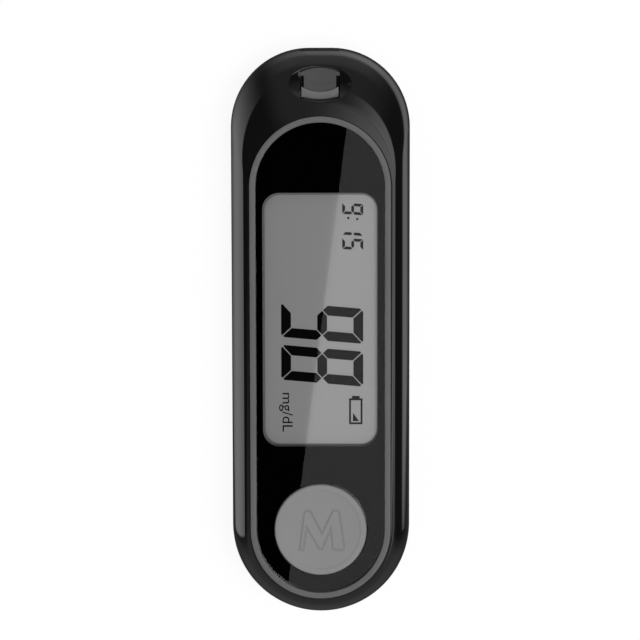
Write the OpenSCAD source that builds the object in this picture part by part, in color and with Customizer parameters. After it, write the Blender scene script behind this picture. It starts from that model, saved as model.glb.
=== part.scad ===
// Handheld blood glucose meter, lying on its back.
// X runs across the meter, Y runs from the round end to the strip end (the nose), Z runs up out of the face.
// The origin is the middle of the footprint, on the surface that the meter lies on. Millimetres.

/* [Body] */
// Width across the straight sides
body_width = 34; // [30.6:0.2:38]
// Length from the round end to the nose
body_length = 108.2; // [97:0.2:120]
// Height of the joint between the two covers
parting_height = 6.6; // [6.4:0.1:7]
// Height of the front cover's face
face_height = 14.8; // [14.6:0.1:16]
// Corner radius of the nose, seen from the front
nose_radius = 14.9; // [13.6:0.1:15.2]
// Fullness of the front cover's rounded flanks, where 2 is an ellipse
flank_fullness = 2.13; // [2:0.01:2.4]
// Radius of the long edge round the back
back_edge_radius = 4.5; // [3.5:0.1:5]

/* [Walls] */
// Wall of both covers
wall = 1.5; // [1.3:0.05:1.7]
// Floor of the rear cover
floor_thickness = 1.5; // [1.4:0.05:1.8]
// Wall of the front cover behind the lens
face_wall = 1.3; // [1.1:0.05:1.5]
// How far the front cavity leans in at its top
cavity_lean = 2.2; // [1.8:0.1:2.4]
// Height of the rear cover's locating lip
lip_height = 1; // [0.6:0.1:1.2]
// Thickness of the locating lip
lip_thickness = 0.6; // [0.5:0.05:0.7]
// Clearance round the locating lip
lip_gap = 0.1; // [0.05:0.01:0.15]

/* [Face] */
// Margin from the body's side to the trim ring
face_margin = 3.63; // [3.4:0.01:4]
// Distance from the nose's tip to the trim ring
face_setback = 12.3; // [12:0.1:14]
// Narrow flat land between the trim ring and the flank
face_land = 0.3; // [0.2:0.05:0.5]
// Width of the trim ring
ring_width = 1.13; // [0.9:0.01:1.3]
// How far the trim ring stands above the face
ring_proud = 0.2; // [0.1:0.05:0.4]
// Bevel on the trim ring's upper edges
ring_bevel = 0.2; // [0.1:0.05:0.3]
// Thickness of the clear lens
lens_thickness = 1.4; // [1.2:0.05:1.6]
// How far the lens stands above the face
lens_proud = 0.05; // [0:0.01:0.1]
// Thickness of the black mask that holds the lens
mask_thickness = 0.15; // [0.1:0.01:0.2]
// Fit between lens, trim ring and cover
trim_fit = 0.04; // [0.02:0.01:0.08]

/* [Display] */
// Black border of the lens on both sides of the display window
window_border = 1.22; // [1:0.01:2]
// Distance from the button to the display window
window_to_button = 7.16; // [6.8:0.02:9]
// Distance from the display window to the trim ring's far end
window_to_ring = 14.5; // [14.3:0.1:17]
// Corner radius of the display window
window_radius = 3.2; // [2:0.1:4]
// Step from the mask's edge to the cover's edge round the window
window_step = 0.35; // [0.2:0.05:0.5]
// Width of the foam gasket
gasket_width = 1.2; // [1:0.1:1.3]
// Thickness of the pressed foam gasket
gasket_thickness = 0.4; // [0.3:0.05:0.5]
// Border of the display glass beyond the window
glass_border = 1.8; // [1.7:0.05:1.9]
// Thickness of each display glass with its polariser
glass_thickness = 0.9; // [0.7:0.05:1]
// Width of the contact ledge where the rear glass ends
glass_ledge = 2.4; // [2.2:0.1:2.8]
// Thickness of the reflector
reflector_thickness = 0.3; // [0.2:0.05:0.4]
// Wall of the display frame
frame_wall = 0.8; // [0.7:0.05:0.9]
// Width of the shelf that carries the display
frame_shelf = 1.2; // [1:0.1:1.4]
// Clearance round the display glass
glass_gap = 0.15; // [0.1:0.01:0.2]

/* [Button] */
// Diameter of the round button
button_diameter = 17.55; // [15.8:0.05:18]
// Clearance round the button
button_gap = 0.15; // [0.1:0.01:0.2]
// Travel of the button
button_travel = 0.4; // [0.2:0.05:0.45]
// Width of the button's raised rim
button_rim = 0.9; // [0.7:0.05:1.2]
// Depth of the button's dished top
button_dish = 0.45; // [0.3:0.05:0.6]
// How far the button's rim stands above the lens
button_proud = 0.1; // [0:0.02:0.2]
// Thickness of the button's skin
button_skin = 1.1; // [0.9:0.05:1.3]
// Width of the flange that keeps the button in
flange_width = 1.1; // [0.9:0.05:1.2]
// Thickness of the flange
flange_thickness = 0.7; // [0.6:0.05:0.8]
// Width of the key that stops the button turning
key_width = 2; // [1.6:0.1:2.4]
// Side of the square switch
switch_side = 6; // [5.5:0.1:6.5]
// Height of the switch above the board
switch_height = 2.4; // [2.2:0.05:2.5]
// Diameter of the switch's plunger
plunger_diameter = 3.4; // [3:0.1:3.6]
// Running fit of sliding and turning parts
running_fit = 0.05; // [0.03:0.01:0.08]

/* [Ejector] */
// Distance from the nose's tip to the middle of the thumb dish
dish_setback = 6.35; // [6.2:0.05:6.6]
// Length of the thumb dish along the meter
dish_length = 6.7; // [6.4:0.1:7]
// Width of the thumb dish
dish_width = 13.4; // [12:0.1:13.6]
// Depth of the thumb dish below the line across its ends
dish_depth = 1.1; // [1:0.02:1.2]
// Width of the thumb slider
slider_width = 6.95; // [6.4:0.05:7.4]
// Length of the thumb slider
slider_length = 2.3; // [2.2:0.1:2.5]
// Distance from the dish's middle back to the slider's rear edge
slider_setback = 2.85; // [2.8:0.05:3]
// Length of the slider's flat top
slider_land = 1.5; // [1.3:0.1:1.7]
// Gap round the thumb slider
slider_gap = 0.28; // [0.2:0.01:0.35]
// Travel of the thumb slider towards the nose
slider_travel = 3; // [2.5:0.1:3.1]
// Radius of the slider's curved rear edge
slider_bow = 12; // [10:0.5:16]
// Thickness of the slider's legs
leg_thickness = 0.35; // [0.3:0.01:0.5]
// Length of the slider's legs
leg_length = 0.9; // [0.8:0.1:1.2]
// Thickness of the carrier plate under the cover
carrier_thickness = 0.7; // [0.6:0.05:0.8]
// Width of the carrier plate
carrier_width = 8.4; // [8:0.1:8.8]
// Thickness of the guide's flange
guide_flange = 0.5; // [0.4:0.05:0.6]
// Diameter of the return spring
spring_diameter = 1.8; // [1.6:0.05:1.9]
// Diameter of the spring's wire
spring_wire = 0.25; // [0.2:0.01:0.3]
// Number of turns in the return spring
spring_turns = 8; // [6:1:9]
// Length of the return spring at rest
spring_length = 8.4; // [7.8:0.1:8.8]

/* [Strip port] */
// Width of the strip's slot
slot_width = 7.3; // [7:0.1:7.6]
// Height of the strip's slot
slot_height = 1; // [0.8:0.05:1.1]
// Flare of the slot at the nose
slot_flare = 0.35; // [0.2:0.05:0.45]
// Width of the strip connector
connector_width = 11; // [10.4:0.1:11.4]
// Length of the strip connector
connector_length = 10.6; // [10.2:0.1:10.8]
// Height of the strip connector
connector_height = 2.7; // [2.5:0.05:2.8]
// Number of contacts in the strip connector
contact_count = 5; // [3:1:5]
// Distance between neighbouring contacts
contact_pitch = 1.3; // [1.1:0.05:1.4]
// Width of each contact
contact_width = 0.6; // [0.5:0.05:0.7]
// Thickness of the contacts' sheet metal
contact_sheet = 0.15; // [0.12:0.01:0.18]

/* [Battery] */
// Diameter of the coin cell
coin_diameter = 20; // [19:0.1:20.4]
// Height of the coin cell
coin_height = 3.2; // [2.4:0.1:3.3]
// Distance from the button's middle line to the coin cell's
coin_offset = 5; // [4.5:0.1:5.5]
// Clearance round the coin cell
coin_gap = 0.5; // [0.4:0.05:0.6]
// Gap between the door and the coin cell
coin_lift = 0.3; // [0.2:0.05:0.35]
// Thickness of the battery door
door_thickness = 1.4; // [1.2:0.05:1.4]
// Gap round the battery door
door_gap = 0.2; // [0.15:0.01:0.25]
// Radius of the door's hinge barrel
barrel_radius = 1.1; // [1:0.05:1.2]
// Radius of the hinge pins
pin_radius = 0.5; // [0.45:0.01:0.55]
// Length of the hinge pins
pin_length = 0.9; // [0.8:0.05:1.1]
// Number of grip grooves on the door
grip_count = 4; // [3:1:5]
// Width of each grip groove
grip_width = 0.7; // [0.5:0.05:0.8]
// Depth of the grip grooves
grip_depth = 0.35; // [0.2:0.05:0.45]

/* [Board and screws] */
// Thickness of the circuit board
board_thickness = 1; // [0.8:0.05:1.1]
// How far the board's underside lies below the parting line
board_drop = 0.4; // [0.3:0.05:0.6]
// Gap between the board's edge and the lip
board_gap = 0.4; // [0.3:0.05:0.5]
// Radius of the screw bosses
boss_radius = 1.8; // [1.7:0.05:1.9]
// Radius of the screws' shanks
screw_radius = 0.75; // [0.65:0.05:0.8]
// Radius of the screws' heads
head_radius = 1.4; // [1.3:0.05:1.5]
// Height of the screws' heads
head_height = 0.9; // [0.8:0.05:1]
// Depth of the counterbore for the housing screws
counterbore = 1.9; // [1.7:0.1:2.2]
// Distance from the body's side to the two nose screws
nose_screw_inset = 6.7; // [6.4:0.1:6.9]
// Distance from the nose's tip to the two nose screws
nose_screw_setback = 12.4; // [12:0.1:13]
// Distance from the round end to its screw
end_screw_setback = 4.4; // [4.2:0.05:4.6]
// Number of cross ribs inside the rear cover
rib_count = 4; // [2:1:5]
// Thickness of the cross ribs
rib_thickness = 0.8; // [0.6:0.1:1]
// Height of the cross ribs
rib_height = 1.8; // [1:0.1:2.4]
// Side of the processor
processor_side = 9; // [8:0.5:10]
// Height of the processor
processor_height = 1.3; // [1:0.1:1.4]
// Side of the analog chip
analog_side = 3.2; // [3:0.1:3.6]
// Height of the analog chip
analog_height = 1; // [0.8:0.1:1.2]
// Length of the crystal's can
crystal_length = 6; // [5:0.5:7]
// Diameter of the crystal's can
crystal_diameter = 2; // [1.8:0.1:2.1]
// Diameter of the buzzer
buzzer_diameter = 9; // [8:0.5:10]
// Height of the buzzer
buzzer_height = 1.3; // [1:0.1:1.5]
// Length of each small passive part
passive_length = 2; // [1.6:0.1:2.2]
// Distance between neighbouring passive parts
passive_pitch = 3; // [2.8:0.1:3.2]

/* [Hidden] */
$fn = 64;

// Steps round the round end, round the nose and down the flank of the lofted front cover
end_steps = 28;
nose_steps = 36;
flank_steps = 9;
// Sides of the spring's wire and steps in each of its turns
wire_sides = 6;
turn_steps = 14;
// Overshoot of a cut beyond the face that it opens
cut = 1;

// Plan: the round end and the button share a centre, and so do the face's two ends
half_width = body_width / 2;
end_y = half_width - body_length / 2;
tip_y = body_length / 2;
nose_x = half_width - nose_radius;
nose_y = tip_y - nose_radius;
face_half = half_width - face_margin;
face_end = tip_y - face_setback;
face_nose_y = face_end - face_half;
land_half = face_half + face_land;
lens_half = face_half - trim_fit - ring_width - trim_fit;

// Heights of the face's layers
lens_top = face_height + lens_proud;
lens_bottom = lens_top - lens_thickness;
seat_z = lens_bottom - mask_thickness;
face_underside = seat_z - face_wall;
glass_top = face_underside - gasket_thickness;
rear_glass_top = glass_top - glass_thickness;
reflector_top = rear_glass_top - glass_thickness;
reflector_bottom = reflector_top - reflector_thickness;
board_bottom = parting_height - board_drop;
board_top = board_bottom + board_thickness;

// Display
window_start = end_y + button_diameter / 2 + window_to_button;
window_end = face_end - window_to_ring;
window_length = window_end - window_start;
window_width = 2 * (lens_half - window_border);
window_y = (window_start + window_end) / 2;
glass_width = window_width + 2 * glass_border;
glass_length = window_length + 2 * glass_border + glass_ledge / 2;
glass_y = window_y + glass_ledge / 4;
glass_end = glass_y + glass_length / 2;
frame_width = glass_width + 2 * (glass_gap + frame_wall);
frame_length = glass_length + 2 * (glass_gap + frame_wall);
frame_end = glass_y + frame_length / 2;
shelf_start = glass_y - glass_length / 2 + frame_shelf;
buzzer_y = shelf_start + buzzer_diameter / 2 + 0.7;
passive_y = buzzer_y + buzzer_diameter / 2 + 1;
processor_y = passive_y + 4 * passive_pitch + processor_side / 2 + 0.5;
zebra_width = glass_ledge - 0.8;

// Button
button_radius = button_diameter / 2;
button_hole = button_radius + button_gap;
button_top = lens_top + button_proud;
flange_radius = button_hole + flange_width;
flange_top = face_underside - button_gap;
flange_bottom = flange_top - flange_thickness;
key_length = flange_width;
plunger_bore = plunger_diameter / 2 + running_fit;
switch_top = board_top + switch_height;
plunger_top = switch_top + button_travel + 0.2;
plunger_bottom = board_top + button_travel + 0.6;

// Thumb dish: a spindle laid across the nose, tilted to the slope it is scooped from
dish_y = tip_y - dish_setback;
dish_start_z = flank_z(dish_y - dish_length / 2);
dish_end_z = flank_z(dish_y + dish_length / 2);
dish_chord = sqrt(pow(dish_length, 2) + pow(dish_start_z - dish_end_z, 2));
dish_tilt = atan2(dish_start_z - dish_end_z, dish_length);
dish_cross_radius = (pow(dish_chord / 2, 2) + pow(dish_depth, 2)) / (2 * dish_depth);
dish_bulge = flank_z(dish_y) - (dish_start_z + dish_end_z) / 2;
dish_full_depth = dish_depth + dish_bulge * cos(dish_tilt);
dish_long_radius = (pow(dish_width / 2, 2) + pow(dish_full_depth, 2)) / (2 * dish_full_depth);
dish_lift = dish_cross_radius - dish_depth;
dish_axis_y = dish_y + dish_lift * sin(dish_tilt);
dish_axis_z = (dish_start_z + dish_end_z) / 2 + dish_lift * cos(dish_tilt);
dish_low = dish_axis_z - dish_cross_radius;
dish_backing = 1.1;

// Ejector levels, from the dish's floor down
guide_wall = 0.45;
flange_seat = dish_low - guide_wall;
guide_bottom = flange_seat - guide_flange;
carrier_gap = 0.1;
carrier_top = guide_bottom - carrier_gap;
carrier_bottom = carrier_top - carrier_thickness;
ramp_gap = 0.1;
slider_y = dish_y - slider_setback;
slider_front = slider_y + slider_length;
slider_bottom = dish_floor(slider_front, 0) + ramp_gap;
slider_top = dish_floor(slider_y + slider_land, 0);
ramp_half = slider_width / 2 - leg_thickness - ramp_gap;
ramp_top = slider_bottom - ramp_gap;
leg_inset = 0.3;
leg_y = slider_y + leg_inset;
opening_half = slider_width / 2 + slider_gap;
rim_inset = 0.35;
rim_half = dish_width / 2 - rim_inset;
rim_rise = dish_length / 2 - rim_inset;
rim_radius = (pow(rim_half, 2) + pow(rim_rise, 2)) / (2 * rim_rise);
rim_y = dish_y + rim_rise - rim_radius;
flange_half = 5.4;
flange_start = slider_y - 1.3;
flange_end = dish_y + rim_rise - 0.2;
carrier_end = leg_y + leg_length + 0.3;

// Strip connector and its contacts
connector_front = dish_y + 2.9;
connector_back = connector_front - connector_length;
slot_z = board_top + 0.7;
channel_back = connector_back + 1.1;
finger_y = channel_back + 0.2;
finger_length = 0.8;
finger_width = 1.2;
contact_low = slot_z - 0.35;
contact_tail = 1.2;
contact_root = connector_back - 0.3;
contact_slope = 1.4;
contact_lip = 0.8;
contact_dip = 0.1;
contact_hump_y = finger_y + finger_length + slider_travel + 1.3;
groove_end = contact_hump_y + contact_slope + contact_lip;

// Return spring, between the carrier's arm and a rib of the front cover
arm_start = frame_end + 1.1;
arm_thickness = 0.8;
spring_start = arm_start + arm_thickness;
spring_end = spring_start + spring_length;
nose_screw_x = half_width - nose_screw_inset;
spring_offset = nose_screw_x - boss_radius - spring_diameter / 2 - 0.7;
spring_z = min(carrier_bottom + 0.45, face_underside - spring_diameter / 2 - 0.3);
spring_rib = 1.2;

// Battery bay and door
coin_radius = coin_diameter / 2;
coin_y = end_y + coin_offset;
coin_bottom = door_thickness + coin_lift;
coin_top = coin_bottom + coin_height;
bay_radius = coin_radius + coin_gap;
bay_wall = 1;
bay_top = board_bottom - 0.4;
door_half = bay_radius - door_gap;
hinge_y = coin_y + coin_radius + 2.4;
hinge_z = barrel_radius;
pin_bore = pin_radius + running_fit;
latch_width = 6;
rib_inset = 6;
rib_start = hinge_y + rib_inset;
rib_end = nose_y - rib_inset;
positive_leaf = 0.25;
positive_width = 5;
positive_step = 0.5;
positive_foot = 3;
positive_low = coin_bottom + 0.8;
negative_leaf = 0.2;
negative_width = 4;

board_half = half_width - wall - lip_gap - lip_thickness - board_gap;
processor_leads = 9;
analog_leads = 4;
lead_out = 0.3;
lead_length = 0.8;
lead_height = 0.25;

// Screws: two near the nose and one in the round end join the covers, four hold the board
housing_screw_places = [
    [0, end_y - half_width + end_screw_setback],
    [nose_screw_x, tip_y - nose_screw_setback],
    [-nose_screw_x, tip_y - nose_screw_setback]
];
board_screw_places = [
    [board_half - head_radius - 0.7, end_y - 0.5], [head_radius + 0.7 - board_half, end_y - 0.5],
    [nose_screw_x, frame_end + 3.2], [-nose_screw_x, frame_end + 3.2]
];
pilot_radius = screw_radius + running_fit;
boss_gap = 0.3;
board_start = end_y - half_width + end_screw_setback + boss_radius + 1;
board_end = connector_front - 0.5;

// Height of the front cover's flank over the middle line, at a distance y along the meter
function flank_z(y) = let(
    start = face_nose_y + land_half,
    share = max(0, min(1, (y - start) / (tip_y - start)))
) parting_height + (face_height - parting_height) * pow(1 - pow(share, flank_fullness), 1 / flank_fullness);

// Height of the dish's floor at a distance y along the meter and x from the middle line
function dish_floor(y, x) = let(
    reach = dish_cross_radius - dish_long_radius + sqrt(pow(dish_long_radius, 2) - pow(x, 2))
) dish_axis_z - sqrt(pow(reach, 2) - pow(y - dish_axis_y, 2));

// Points of a closed outline, anticlockwise: the round end, then the nose with its two corners
function outline_points(end_radius, corner_x, corner_y, corner_radius) = concat(
    [for (i = [0 : end_steps]) let(a = 180 + 180 * i / end_steps)
        [end_radius * cos(a), end_y + end_radius * sin(a)]],
    [for (i = [0 : nose_steps]) let(a = 180 * i / nose_steps)
        [sign(cos(a)) * corner_x + corner_radius * cos(a), corner_y + corner_radius * sin(a)]]
);

// Solid between an upper and a lower outline, with flanks that bulge as part of a superellipse,
// above a straight skirt
module flank_loft(upper, lower, top, bottom, fullness, skirt) {
    count = len(upper);
    flank = [for (k = [0 : flank_steps]) let(
        t = 90 * k / flank_steps,
        out = pow(sin(t), 2 / fullness),
        up = pow(cos(t), 2 / fullness)
    ) [out, bottom + (top - bottom) * up]];
    rings = skirt > 0 ? concat(flank, [[1, bottom - skirt]]) : flank;
    last = len(rings) - 1;
    points = [for (ring = rings) for (i = [0 : count - 1]) let(
        place = upper[i] + (lower[i] - upper[i]) * ring[0]
    ) [place[0], place[1], ring[1]]];
    faces = concat(
        [[for (i = [count - 1 : -1 : 0]) i]],
        [[for (i = [0 : count - 1]) last * count + i]],
        [for (k = [0 : last - 1]) for (i = [0 : count - 1]) let(
            here = k * count + i,
            next = k * count + (i + 1) % count
        ) each [[here, next, next + count], [here, next + count, here + count]]]
    );
    polyhedron(points = points, faces = faces);
}

// Flat stadium along the meter
module stadium(half, start, end) {
    translate([0, start]) circle(r = half);
    translate([0, end]) circle(r = half);
    translate([-half, start]) square([2 * half, end - start]);
}

// Flat rectangle with round corners
module rounded_window(width, length, radius) {
    union() {
        square([width - 2 * radius, length], center = true);
        square([width, length - 2 * radius], center = true);
        for (x = [-1, 1]) for (y = [-1, 1])
            translate([x * (width / 2 - radius), y * (length / 2 - radius)]) circle(r = radius);
    }
}

// Flat outline of the body, drawn in by inset
module body_outline(inset) {
    translate([0, end_y]) circle(r = half_width - inset);
    translate([inset - half_width, end_y]) square([2 * (half_width - inset), nose_y - end_y]);
    for (side = [-1, 1]) translate([side * nose_x, nose_y]) circle(r = nose_radius - inset);
    translate([-nose_x, nose_y]) square([2 * nose_x, nose_radius - inset]);
}

// Profile from the axis out to a wall with a rounded lower edge
module edge_profile(radius, top, bottom, edge) {
    translate([0, bottom]) square([radius - edge, top - bottom]);
    translate([0, bottom + edge]) square([radius, top - bottom - edge]);
    intersection() {
        translate([radius - edge, bottom + edge]) circle(r = edge);
        translate([radius - edge - cut, bottom]) square([edge + cut, edge]);
    }
}

// Body outline from bottom to top, drawn in by inset, with its lower edge rounded
module tray(inset, top, bottom, edge) {
    end_radius = half_width - inset;
    corner_radius = nose_radius - inset;
    translate([0, end_y, 0]) rotate([0, 0, 180]) rotate_extrude(angle = 180)
        edge_profile(end_radius, top, bottom, edge);
    translate([0, nose_y, 0]) rotate([90, 0, 0]) linear_extrude(nose_y - end_y)
        for (side = [0, 1]) mirror([side, 0]) edge_profile(end_radius, top, bottom, edge);
    for (side = [0, 1]) mirror([side, 0, 0]) translate([nose_x, nose_y, 0])
        rotate_extrude(angle = 90) edge_profile(corner_radius, top, bottom, edge);
    translate([-nose_x, nose_y, 0]) rotate([90, 0, 90]) linear_extrude(2 * nose_x)
        edge_profile(corner_radius, top, bottom, edge);
}

// Spindle that scoops the thumb dish, grown by a wall where its backing is wanted
module dish_spindle(grow) {
    cross = dish_cross_radius + grow;
    long = dish_long_radius + grow;
    translate([0, dish_axis_y, dish_axis_z]) rotate([0, 90, 0]) rotate_extrude() intersection() {
        translate([cross - long, 0]) circle(r = long);
        translate([0, -long]) square([long, 2 * long]);
    }
}

// Flat outline of the thumb slider, grown by gap
module slider_plan(gap) {
    intersection() {
        translate([-slider_width / 2 - gap, slider_y - 2])
            square([slider_width + 2 * gap, slider_length + 2 + gap]);
        translate([0, slider_y + slider_bow]) circle(r = slider_bow + gap);
    }
}

// Flat outline of the slider's track, from behind the slider to just inside the dish's rim
module track_plan(gap) {
    intersection() {
        translate([-opening_half - gap, slider_y - 2]) square([2 * (opening_half + gap), dish_length + 2]);
        translate([0, slider_y + slider_bow]) circle(r = slider_bow + slider_gap + gap);
        translate([0, rim_y]) circle(r = rim_radius + gap);
    }
}

// Space inside the front cover, less what stands in it
module front_cavity() {
    difference() {
        flank_loft(
            outline_points(half_width - wall - cavity_lean, 0, face_nose_y, half_width - wall - cavity_lean),
            outline_points(half_width - wall, nose_x, nose_y, nose_radius - wall),
            face_underside, parting_height + lip_height + lip_gap, flank_fullness + 0.5,
            lip_height + lip_gap + cut
        );
        dish_spindle(dish_backing);
        for (place = housing_screw_places) translate([place[0], place[1], board_top])
            cylinder(r = boss_radius, h = face_height);
        translate([spring_offset - spring_diameter / 2, spring_end, spring_z - spring_diameter / 2])
            cube([spring_diameter, spring_rib, face_height]);
        for (side = [-1, 1]) translate([
            side * (key_width / 2 + button_gap + 0.4) - 0.4, end_y + flange_radius + 0.2, flange_bottom
        ]) cube([0.8, key_length, face_height]);
    }
}

// Room for the carrier, the guide's flange, the slider and its track under and in the dish
module ejector_cuts() {
    translate([-carrier_width / 2 - 0.3, connector_back, carrier_bottom - 0.3])
        cube([
            carrier_width + 0.6, carrier_end + slider_travel + 0.3 - connector_back, carrier_thickness + 0.5
        ]);
    translate([-flange_half - trim_fit, flange_start - trim_fit, carrier_bottom])
        cube([2 * (flange_half + trim_fit), flange_end - flange_start + 2 * trim_fit,
            flange_seat - carrier_bottom]);
    translate([0, 0, guide_bottom]) linear_extrude(face_height) track_plan(0);
}

// Slot for the test strip through the nose, flared at its mouth
module strip_mouth() {
    translate([-slot_width / 2, connector_front, slot_z]) cube([slot_width, half_width, slot_height]);
    translate([-slot_width / 2 - slot_flare, tip_y, slot_z + slot_height / 2]) rotate([90, 0, 90])
        linear_extrude(slot_width + 2 * slot_flare) polygon([
            [0.1 - 3 * slot_flare, slot_height / 2], [0.1, slot_height / 2 + 3 * slot_flare],
            [0.1, -slot_height / 2 - 3 * slot_flare], [0.1 - 3 * slot_flare, -slot_height / 2]
        ]);
}

module front_cover() {
    color([0.03, 0.03, 0.035]) difference() {
        flank_loft(
            outline_points(land_half, 0, face_nose_y, land_half),
            outline_points(half_width, nose_x, nose_y, nose_radius),
            face_height, parting_height, flank_fullness, 0
        );
        front_cavity();
        translate([0, 0, seat_z]) linear_extrude(face_height) stadium(face_half, end_y, face_nose_y);
        translate([0, window_y, face_underside - cut]) linear_extrude(face_height) rounded_window(
            window_width + 2 * window_step, window_length + 2 * window_step, window_radius + window_step
        );
        translate([0, end_y, face_underside - cut]) cylinder(r = button_hole, h = face_height);
        dish_spindle(0);
        ejector_cuts();
        strip_mouth();
        for (place = housing_screw_places) translate([place[0], place[1], parting_height])
            cylinder(r = pilot_radius, h = face_underside - parting_height - 0.6);
    }
}

// Flat outline of the battery bay, grown by gap
module bay_plan(half, end) {
    translate([0, coin_y]) circle(r = half);
    translate([-half, coin_y]) square([2 * half, end - coin_y]);
}

// Bosses, ribs, bay wall and hinge blocks that stand on the rear cover's floor
module rear_fittings() {
    for (place = housing_screw_places) translate([place[0], place[1], 0])
        cylinder(r = head_radius + wall, h = board_bottom - boss_gap);
    for (place = board_screw_places) translate([place[0], place[1], 0])
        cylinder(r = boss_radius, h = board_bottom);
    linear_extrude(bay_top) difference() {
        bay_plan(bay_radius + bay_wall, hinge_y + barrel_radius + door_gap + bay_wall);
        bay_plan(bay_radius, hinge_y + barrel_radius + door_gap);
    }
    for (i = [1 : rib_count]) translate([wall - half_width,
        rib_start + (rib_end - rib_start) * (i - 1) / (rib_count - 1) - rib_thickness / 2,
        floor_thickness - 0.1
    ]) cube([body_width - 2 * wall, rib_thickness, rib_height + 0.1]);
}

module rear_cover() {
    color([0.05, 0.05, 0.055]) difference() {
        union() {
            difference() {
                union() {
                    tray(0, parting_height, 0, back_edge_radius);
                    linear_extrude(parting_height + lip_height) body_outline(wall + lip_gap + 2);
                    translate([0, 0, parting_height / 2]) linear_extrude(parting_height / 2 + lip_height)
                        body_outline(wall + lip_gap);
                }
                tray(wall + lip_gap + lip_thickness, parting_height + lip_height + cut,
                    floor_thickness, back_edge_radius - wall);
            }
            intersection() {
                rear_fittings();
                tray(wall / 2, parting_height, 0, back_edge_radius - wall / 2);
            }
        }
        translate([0, 0, -cut]) linear_extrude(floor_thickness + 2 * cut)
            bay_plan(bay_radius, hinge_y + barrel_radius + door_gap);
        translate([-door_half - pin_length - door_gap, hinge_y, hinge_z]) rotate([0, 90, 0])
            cylinder(r = pin_bore, h = 2 * (door_half + pin_length + door_gap));
        for (place = housing_screw_places) translate([place[0], place[1], 0]) {
            translate([0, 0, -cut]) cylinder(r = head_radius + 0.2, h = counterbore + cut);
            cylinder(r = pilot_radius, h = parting_height + cut);
        }
        for (place = board_screw_places) translate([place[0], place[1], floor_thickness])
            cylinder(r = pilot_radius, h = parting_height);
    }
}

module battery_door() {
    color([0.06, 0.06, 0.065]) difference() {
        union() {
            linear_extrude(door_thickness) bay_plan(door_half, hinge_y);
            translate([-door_half, hinge_y, hinge_z]) rotate([0, 90, 0])
                cylinder(r = barrel_radius, h = 2 * door_half);
            translate([-door_half - pin_length, hinge_y, hinge_z]) rotate([0, 90, 0])
                cylinder(r = pin_radius, h = 2 * (door_half + pin_length));
            translate([0, 0, door_thickness - 0.5]) linear_extrude(0.5) intersection() {
                translate([0, coin_y]) circle(r = door_half + door_gap / 2);
                translate([-latch_width / 2, coin_y - bay_radius]) square([latch_width, 2]);
            }
        }
        for (side = [-1, 1]) translate([side * (latch_width / 2 + 0.4) - 0.25, coin_y - door_half - 1, -cut])
            cube([0.5, 3.2, door_thickness + 2 * cut]);
        for (i = [0 : grip_count - 1]) translate([
            -latch_width / 2 + 0.4, coin_y - door_half + 3 + 2 * grip_width * i, -cut
        ]) cube([latch_width - 0.8, grip_width, grip_depth + cut]);
    }
}

module trim_ring() {
    outer = face_half - trim_fit;
    inner = outer - ring_width;
    top = face_height + ring_proud;
    profile = [
        [inner, seat_z], [outer, seat_z], [outer, top - ring_bevel], [outer - ring_bevel, top],
        [inner + ring_bevel, top], [inner, top - ring_bevel]
    ];
    color([0.37, 0.37, 0.38]) union() {
        translate([0, end_y, 0]) rotate([0, 0, 180]) rotate_extrude(angle = 180) polygon(profile);
        translate([0, face_nose_y, 0]) rotate_extrude(angle = 180) polygon(profile);
        for (side = [0, 1]) mirror([side, 0, 0]) translate([0, face_nose_y, 0]) rotate([90, 0, 0])
            linear_extrude(face_nose_y - end_y) polygon(profile);
    }
}

module display_lens() {
    color([0.1, 0.1, 0.11, 0.6]) translate([0, 0, lens_bottom]) linear_extrude(lens_thickness) difference() {
        stadium(lens_half, end_y, face_nose_y);
        translate([0, end_y]) circle(r = button_hole);
    }
}

module lens_mask() {
    color([0.02, 0.02, 0.02]) translate([0, 0, seat_z]) linear_extrude(mask_thickness) difference() {
        stadium(lens_half, end_y, face_nose_y);
        translate([0, end_y]) circle(r = button_hole);
        translate([0, window_y]) rounded_window(window_width, window_length, window_radius);
    }
}

module mode_button() {
    dish_reach = button_radius - button_rim;
    dish_radius = (pow(dish_reach, 2) + pow(button_dish, 2)) / (2 * button_dish);
    bevel = 0.2;
    color([0.5, 0.5, 0.52]) union() {
        translate([0, end_y, 0]) rotate_extrude() difference() {
            union() {
                polygon([
                    [0, flange_bottom], [button_radius, flange_bottom], [button_radius, button_top - bevel],
                    [button_radius - bevel, button_top], [0, button_top]
                ]);
                translate([0, flange_bottom]) square([flange_radius, flange_thickness]);
                translate([0, plunger_top]) square([plunger_diameter / 2, button_top - plunger_top - 1]);
            }
            translate([0, button_top - button_dish + dish_radius]) intersection() {
                circle(r = dish_radius, $fn = 200);
                translate([0, -dish_radius - cut]) square([dish_reach + 1, 3 * cut]);
            }
            translate([plunger_diameter / 2, flange_bottom - cut]) square([
                button_radius - button_skin - plunger_diameter / 2,
                button_top - button_dish - button_skin - flange_bottom + cut
            ]);
        }
        translate([-key_width / 2, end_y + flange_radius - 0.5, flange_bottom])
            cube([key_width, key_length + 0.5, flange_thickness]);
    }
}

module switch_body() {
    color([0.12, 0.12, 0.13]) translate([0, end_y, board_top]) difference() {
        union() {
            translate([-switch_side / 2, -switch_side / 2, 0])
                cube([switch_side, switch_side, switch_height]);
            for (side = [-1, 1]) translate([side * (switch_side / 2 + 0.2) - 0.6, -switch_side / 2 + 0.6, 0])
                cube([1.2, switch_side - 1.2, 0.3]);
        }
        translate([0, 0, 0.5]) cylinder(r = plunger_bore, h = switch_height);
    }
}

module switch_plunger() {
    color([0.75, 0.75, 0.72]) translate([0, end_y, plunger_bottom])
        cylinder(r = plunger_diameter / 2, h = plunger_top - plunger_bottom);
}

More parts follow.
